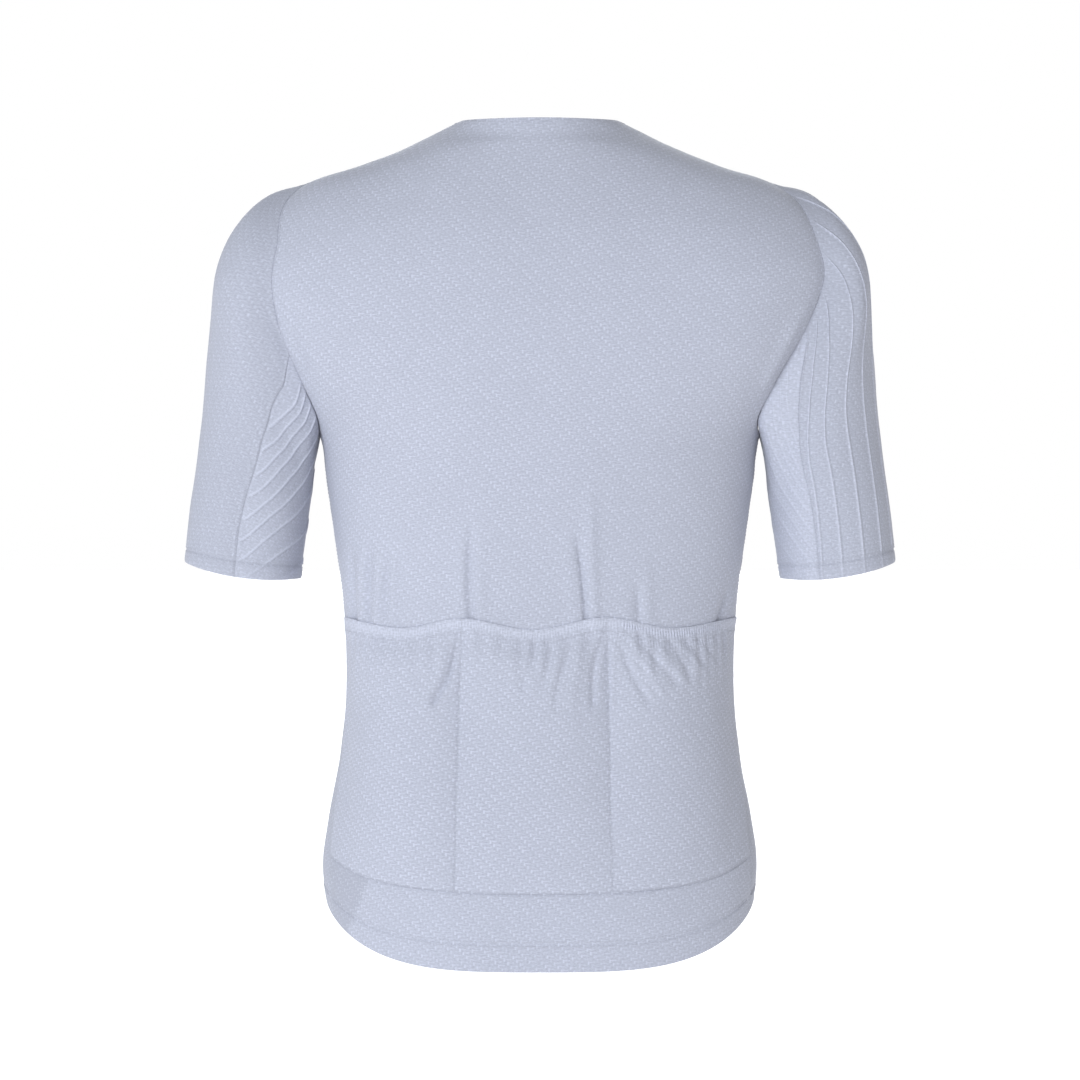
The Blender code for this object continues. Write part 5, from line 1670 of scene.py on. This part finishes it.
@dataclass
class Studio:
    """A pale floor, soft light all round, two large soft lights and the camera."""

    floor_z: float = -0.80
    floor_half: float = 60.0
    sky_low: float = 0.17
    sky_high: float = 0.42
    sky_dim: float = 0.33
    eye: tuple[float, float, float] = (0.0, -3.6, -0.339)
    lens: float = 143.3
    sensor: float = 36.0
    suns: tuple = (("key", (-0.56, -1.0, 0.22), 2.35), ("front", (0.05, 1.0, 0.35), 1.9))
    sun_width: float = 30.0
    sun_colour: tuple[float, float, float] = (0.905, 0.955, 1.0)

    def floor(self) -> bpy.types.Object:
        """The floor."""
        half = self.floor_half / MM
        corners = np.array([(-half, -half, 0), (half, -half, 0), (half, half, 0), (-half, half, 0)])
        finish = PlainFinish("pale_floor", (0.8, 0.8, 0.8), roughness=0.9, glow=0.60).material()
        return make_object("floor", corners + (0, 0, self.floor_z / MM), [(0, 1, 2, 3)], finish)

    def light(self) -> None:
        """The light all round, and one large soft light on the back and one on the front."""
        world = bpy.data.worlds.new("studio")
        world.use_nodes = True
        tree = world.node_tree
        up = tree.nodes.new("ShaderNodeSeparateXYZ")
        tree.links.new(tree.nodes.new("ShaderNodeTexCoord").outputs["Generated"], up.inputs[0])
        dim = tree.nodes.new("ShaderNodeMapRange")
        for socket, value in zip(list(dim.inputs)[1:5], (self.sky_low, self.sky_high, 1.0, self.sky_dim)):
            socket.default_value = value
        tree.links.new(up.outputs["Z"], dim.inputs["Value"])
        background = tree.nodes["Background"]
        background.inputs["Color"].default_value = (1.0, 1.0, 1.0, 1.0)
        tree.links.new(dim.outputs["Result"], background.inputs["Strength"])
        bpy.context.scene.world = world
        for name, place, strength in self.suns:
            lamp = bpy.data.lights.new(name, "SUN")
            lamp.energy, lamp.angle, lamp.color = strength, math.radians(self.sun_width), self.sun_colour
            sun = bpy.data.objects.new(name, lamp)
            sun.rotation_euler = Vector(place).to_track_quat("Z", "Y").to_euler()
            bpy.context.scene.collection.objects.link(sun)

    def camera(self) -> None:
        """The camera, level and facing the back."""
        data = bpy.data.cameras.new("camera")
        data.lens, data.sensor_width, data.clip_end = self.lens, self.sensor, 1000.0
        camera = bpy.data.objects.new("camera", data)
        camera.location, camera.rotation_euler = self.eye, (math.pi / 2, 0.0, 0.0)
        bpy.context.scene.collection.objects.link(camera)
        bpy.context.scene.camera = camera

    def build(self) -> None:
        """Set everything up."""
        self.floor()
        self.light()
        self.camera()
        bpy.context.scene.view_settings.view_transform = "Standard"


@dataclass
class Finishes:
    """Every material of the jersey."""

    body: bpy.types.Material = field(default_factory=KnitCloth("body_knit").material)
    pocket: bpy.types.Material = field(
        default_factory=KnitCloth("pocket_knit", strength=1.2, ribbed=True).material)
    sleeve: bpy.types.Material = field(
        default_factory=KnitCloth("sleeve_knit", strength=0.75, turned=0.25, ribbed=True).material)
    thread: bpy.types.Material = field(
        default_factory=PlainFinish("thread", (0.40, 0.41, 0.47), roughness=0.75).material)
    teeth: bpy.types.Material = field(
        default_factory=PlainFinish("zip_teeth", (0.66, 0.66, 0.68), roughness=0.4).material)
    tape: bpy.types.Material = field(
        default_factory=TapeWeave("tape_weave", (0.60, 0.60, 0.63)).material)
    metal: bpy.types.Material = field(
        default_factory=LacqueredMetal("grey_metal", (0.26, 0.26, 0.275)).material)


@dataclass
class Jersey:
    """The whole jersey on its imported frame.

    Turns and rises say where rows of stitches start and end on the body.
    """

    finishes: Finishes = field(default_factory=Finishes)
    beside: float = 1.5
    twin: float = 1.7
    neck_rise: float = 0.9945
    foot_turn: float = 68.0
    neck_back: float = 105.0
    neck_front: tuple[float, float] = (110.0, 175.0)
    hem_front: tuple[float, float] = (72.0, 176.0)
    zip_rises: tuple[float, float] = (0.01, 0.99)
    teeth_rises: tuple[float, float] = (0.004, 0.972)

    def cloth(self, name: str, sheet: Sheet, node: str) -> bpy.types.Object:
        """Make one cut piece in place of its plain node.

        Args:
            name: Name of the piece.
            sheet: Its outside.
            node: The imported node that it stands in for.

        Returns:
            The piece.
        """
        finish, slot = self.finishes.body, "body_cloth"
        if node.startswith("sleeve"):
            finish, slot = self.finishes.sleeve, "sleeve_cloth"
        if node == "pocket_panel":
            finish = self.finishes.pocket
        piece = sheet.shell(name, CLOTH, finish)
        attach(piece, JERSEY)
        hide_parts(node)
        LOG.info("%s: %d faces", name, len(piece.data.polygons))
        return piece

    def sew(self, name: str, rows: Sequence[tuple[Array, Array]],
            stitching: Stitching = Stitching(), finish: bpy.types.Material | None = None) -> None:
        """Make one group of stitches or teeth.

        Args:
            name: Name of the piece.
            rows: Points and normals of each row.
            stitching: Sizes of the stitches.
            finish: Its material, or the thread's.
        """
        piece = stitching.make(name, rows, finish or self.finishes.thread)
        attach(piece, JERSEY)
        LOG.info("%s: %d faces", name, len(piece.data.polygons))

    def body(self) -> None:
        """Back, hem band, pockets and fronts."""
        pieces = BackPieces()
        back, band, pockets = pieces.back(), pieces.hem_band(), PocketPanel()
        sheet = pockets.sheet()
        self.cloth("cloth_back", back.sheet(), "back")
        self.cloth("cloth_hem_band", band.sheet(), "back_hem_band")
        self.cloth("cloth_pockets", sheet, "pocket_panel")
        self.sew("stitch_pockets", pockets.stitch_rows(sheet))
        turn = np.linspace(-self.foot_turn, self.foot_turn, 200)
        foot = np.column_stack([turn, CUT.band_rise(turn)])
        self.sew("stitch_pocket_foot", [band.row(foot, self.beside)])
        self.sew("stitch_hem_back", self.hem_rows(band, turn))
        neck = np.linspace(-self.neck_back, self.neck_back, 200)
        self.sew("stitch_neck_back", [back.row(self.level_run(neck, self.neck_rise))])
        for side in Side:
            self.front(side, back)

    @staticmethod
    def level_run(turn: Array, rise: float) -> Array:
        """A run at one rise."""
        return np.column_stack([turn, np.full(len(turn), rise)])

    def hem_rows(self, panel: BodyPanel, turn: Array) -> list[tuple[Array, Array]]:
        """Two rows of stitches beside the hem's fold line."""
        rises = ((panel.hem_line + row) / FORM.length for row in (-self.twin, self.twin))
        return [panel.row(self.level_run(turn, rise)) for rise in rises]

    def front(self, side: Side, back: BodyPanel) -> None:
        """One front, and the stitches of its own seams and of its side's armhole."""
        panel = FrontPiece(side).panel()
        self.cloth(f"cloth_front_{side.word}", panel.sheet(), f"front_{side.word}")
        foot = CUT.side_foot(side)[1]
        arms = [cloth.row(CUT.armhole_run(rows, side, 240)[2:-2], self.beside)
                for cloth, rows in ((back, CUT.armhole_back), (panel, CUT.armhole_front))]
        self.sew(f"stitch_armhole_{side.word}", arms)
        top = CUT.armhole_run(CUT.armhole_back, side, 3)[0, 1]
        long_seams = (CUT.side_run(side, foot, top, 200)[2:-2], CUT.shoulder_run(side, 120)[2:-2])
        self.sew(f"stitch_side_{side.word}", [panel.row(run, self.beside) for run in long_seams])
        hem = self.hem_rows(panel, side.value * np.linspace(*self.hem_front, 160))
        self.sew(f"stitch_hem_{side.word}", hem)
        rise = np.linspace(*self.zip_rises, 300)
        by_zip = np.column_stack([side.value * FORM.turn_at(CUT.zip_edge, rise), rise])
        neck = self.level_run(side.value * np.linspace(*self.neck_front, 80), self.neck_rise)
        self.sew(f"stitch_zip_{side.word}", [panel.row(by_zip, self.beside), panel.row(neck)])

    def sleeves(self) -> None:
        """Both sleeves' panels."""
        for side in Side:
            sleeve = Sleeve(side, SleeveForm(side))
            outer, under = sleeve.outer(), sleeve.under()
            self.cloth(f"cloth_sleeve_outer_{side.word}", outer, f"sleeve_outer_{side.word}")
            self.cloth(f"cloth_sleeve_under_{side.word}", under, f"sleeve_under_{side.word}")
            rows = sleeve.stitch_rows(outer) + sleeve.stitch_rows(under)[:2]
            self.sew(f"stitch_sleeve_{side.word}", rows)

    def zip(self) -> None:
        """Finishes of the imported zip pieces, and the teeth on their bead."""
        rise = np.linspace(*self.teeth_rises, 400)
        turn = np.full(400, 180.0)
        self.sew("zip_teeth", [FORM.surface(turn, rise)],
                 Stitching(pitch=1.5, length=4.2, radius=0.5, across=True, lift=-0.12), self.finishes.teeth)
        for node, slot, finish in (("zip_tape_left", "zip_tape", self.finishes.tape),
                                   ("zip_tape_right", "zip_tape", self.finishes.tape),
                                   ("zip_slider", "zip_metal", self.finishes.metal),
                                   ("zip_pull", "zip_metal", self.finishes.metal)):
            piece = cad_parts[node]
            for holder in piece.material_slots:
                holder.material = finish

    def build(self) -> None:
        """Make everything."""
        self.body()
        self.sleeves()
        self.zip()


def main() -> None:
    """Dress the jersey, light it and note its size."""
    logging.basicConfig(level=logging.INFO, format="%(message)s")
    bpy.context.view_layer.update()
    Jersey().build()
    Studio().build()


if __name__ == "__main__":
    main()
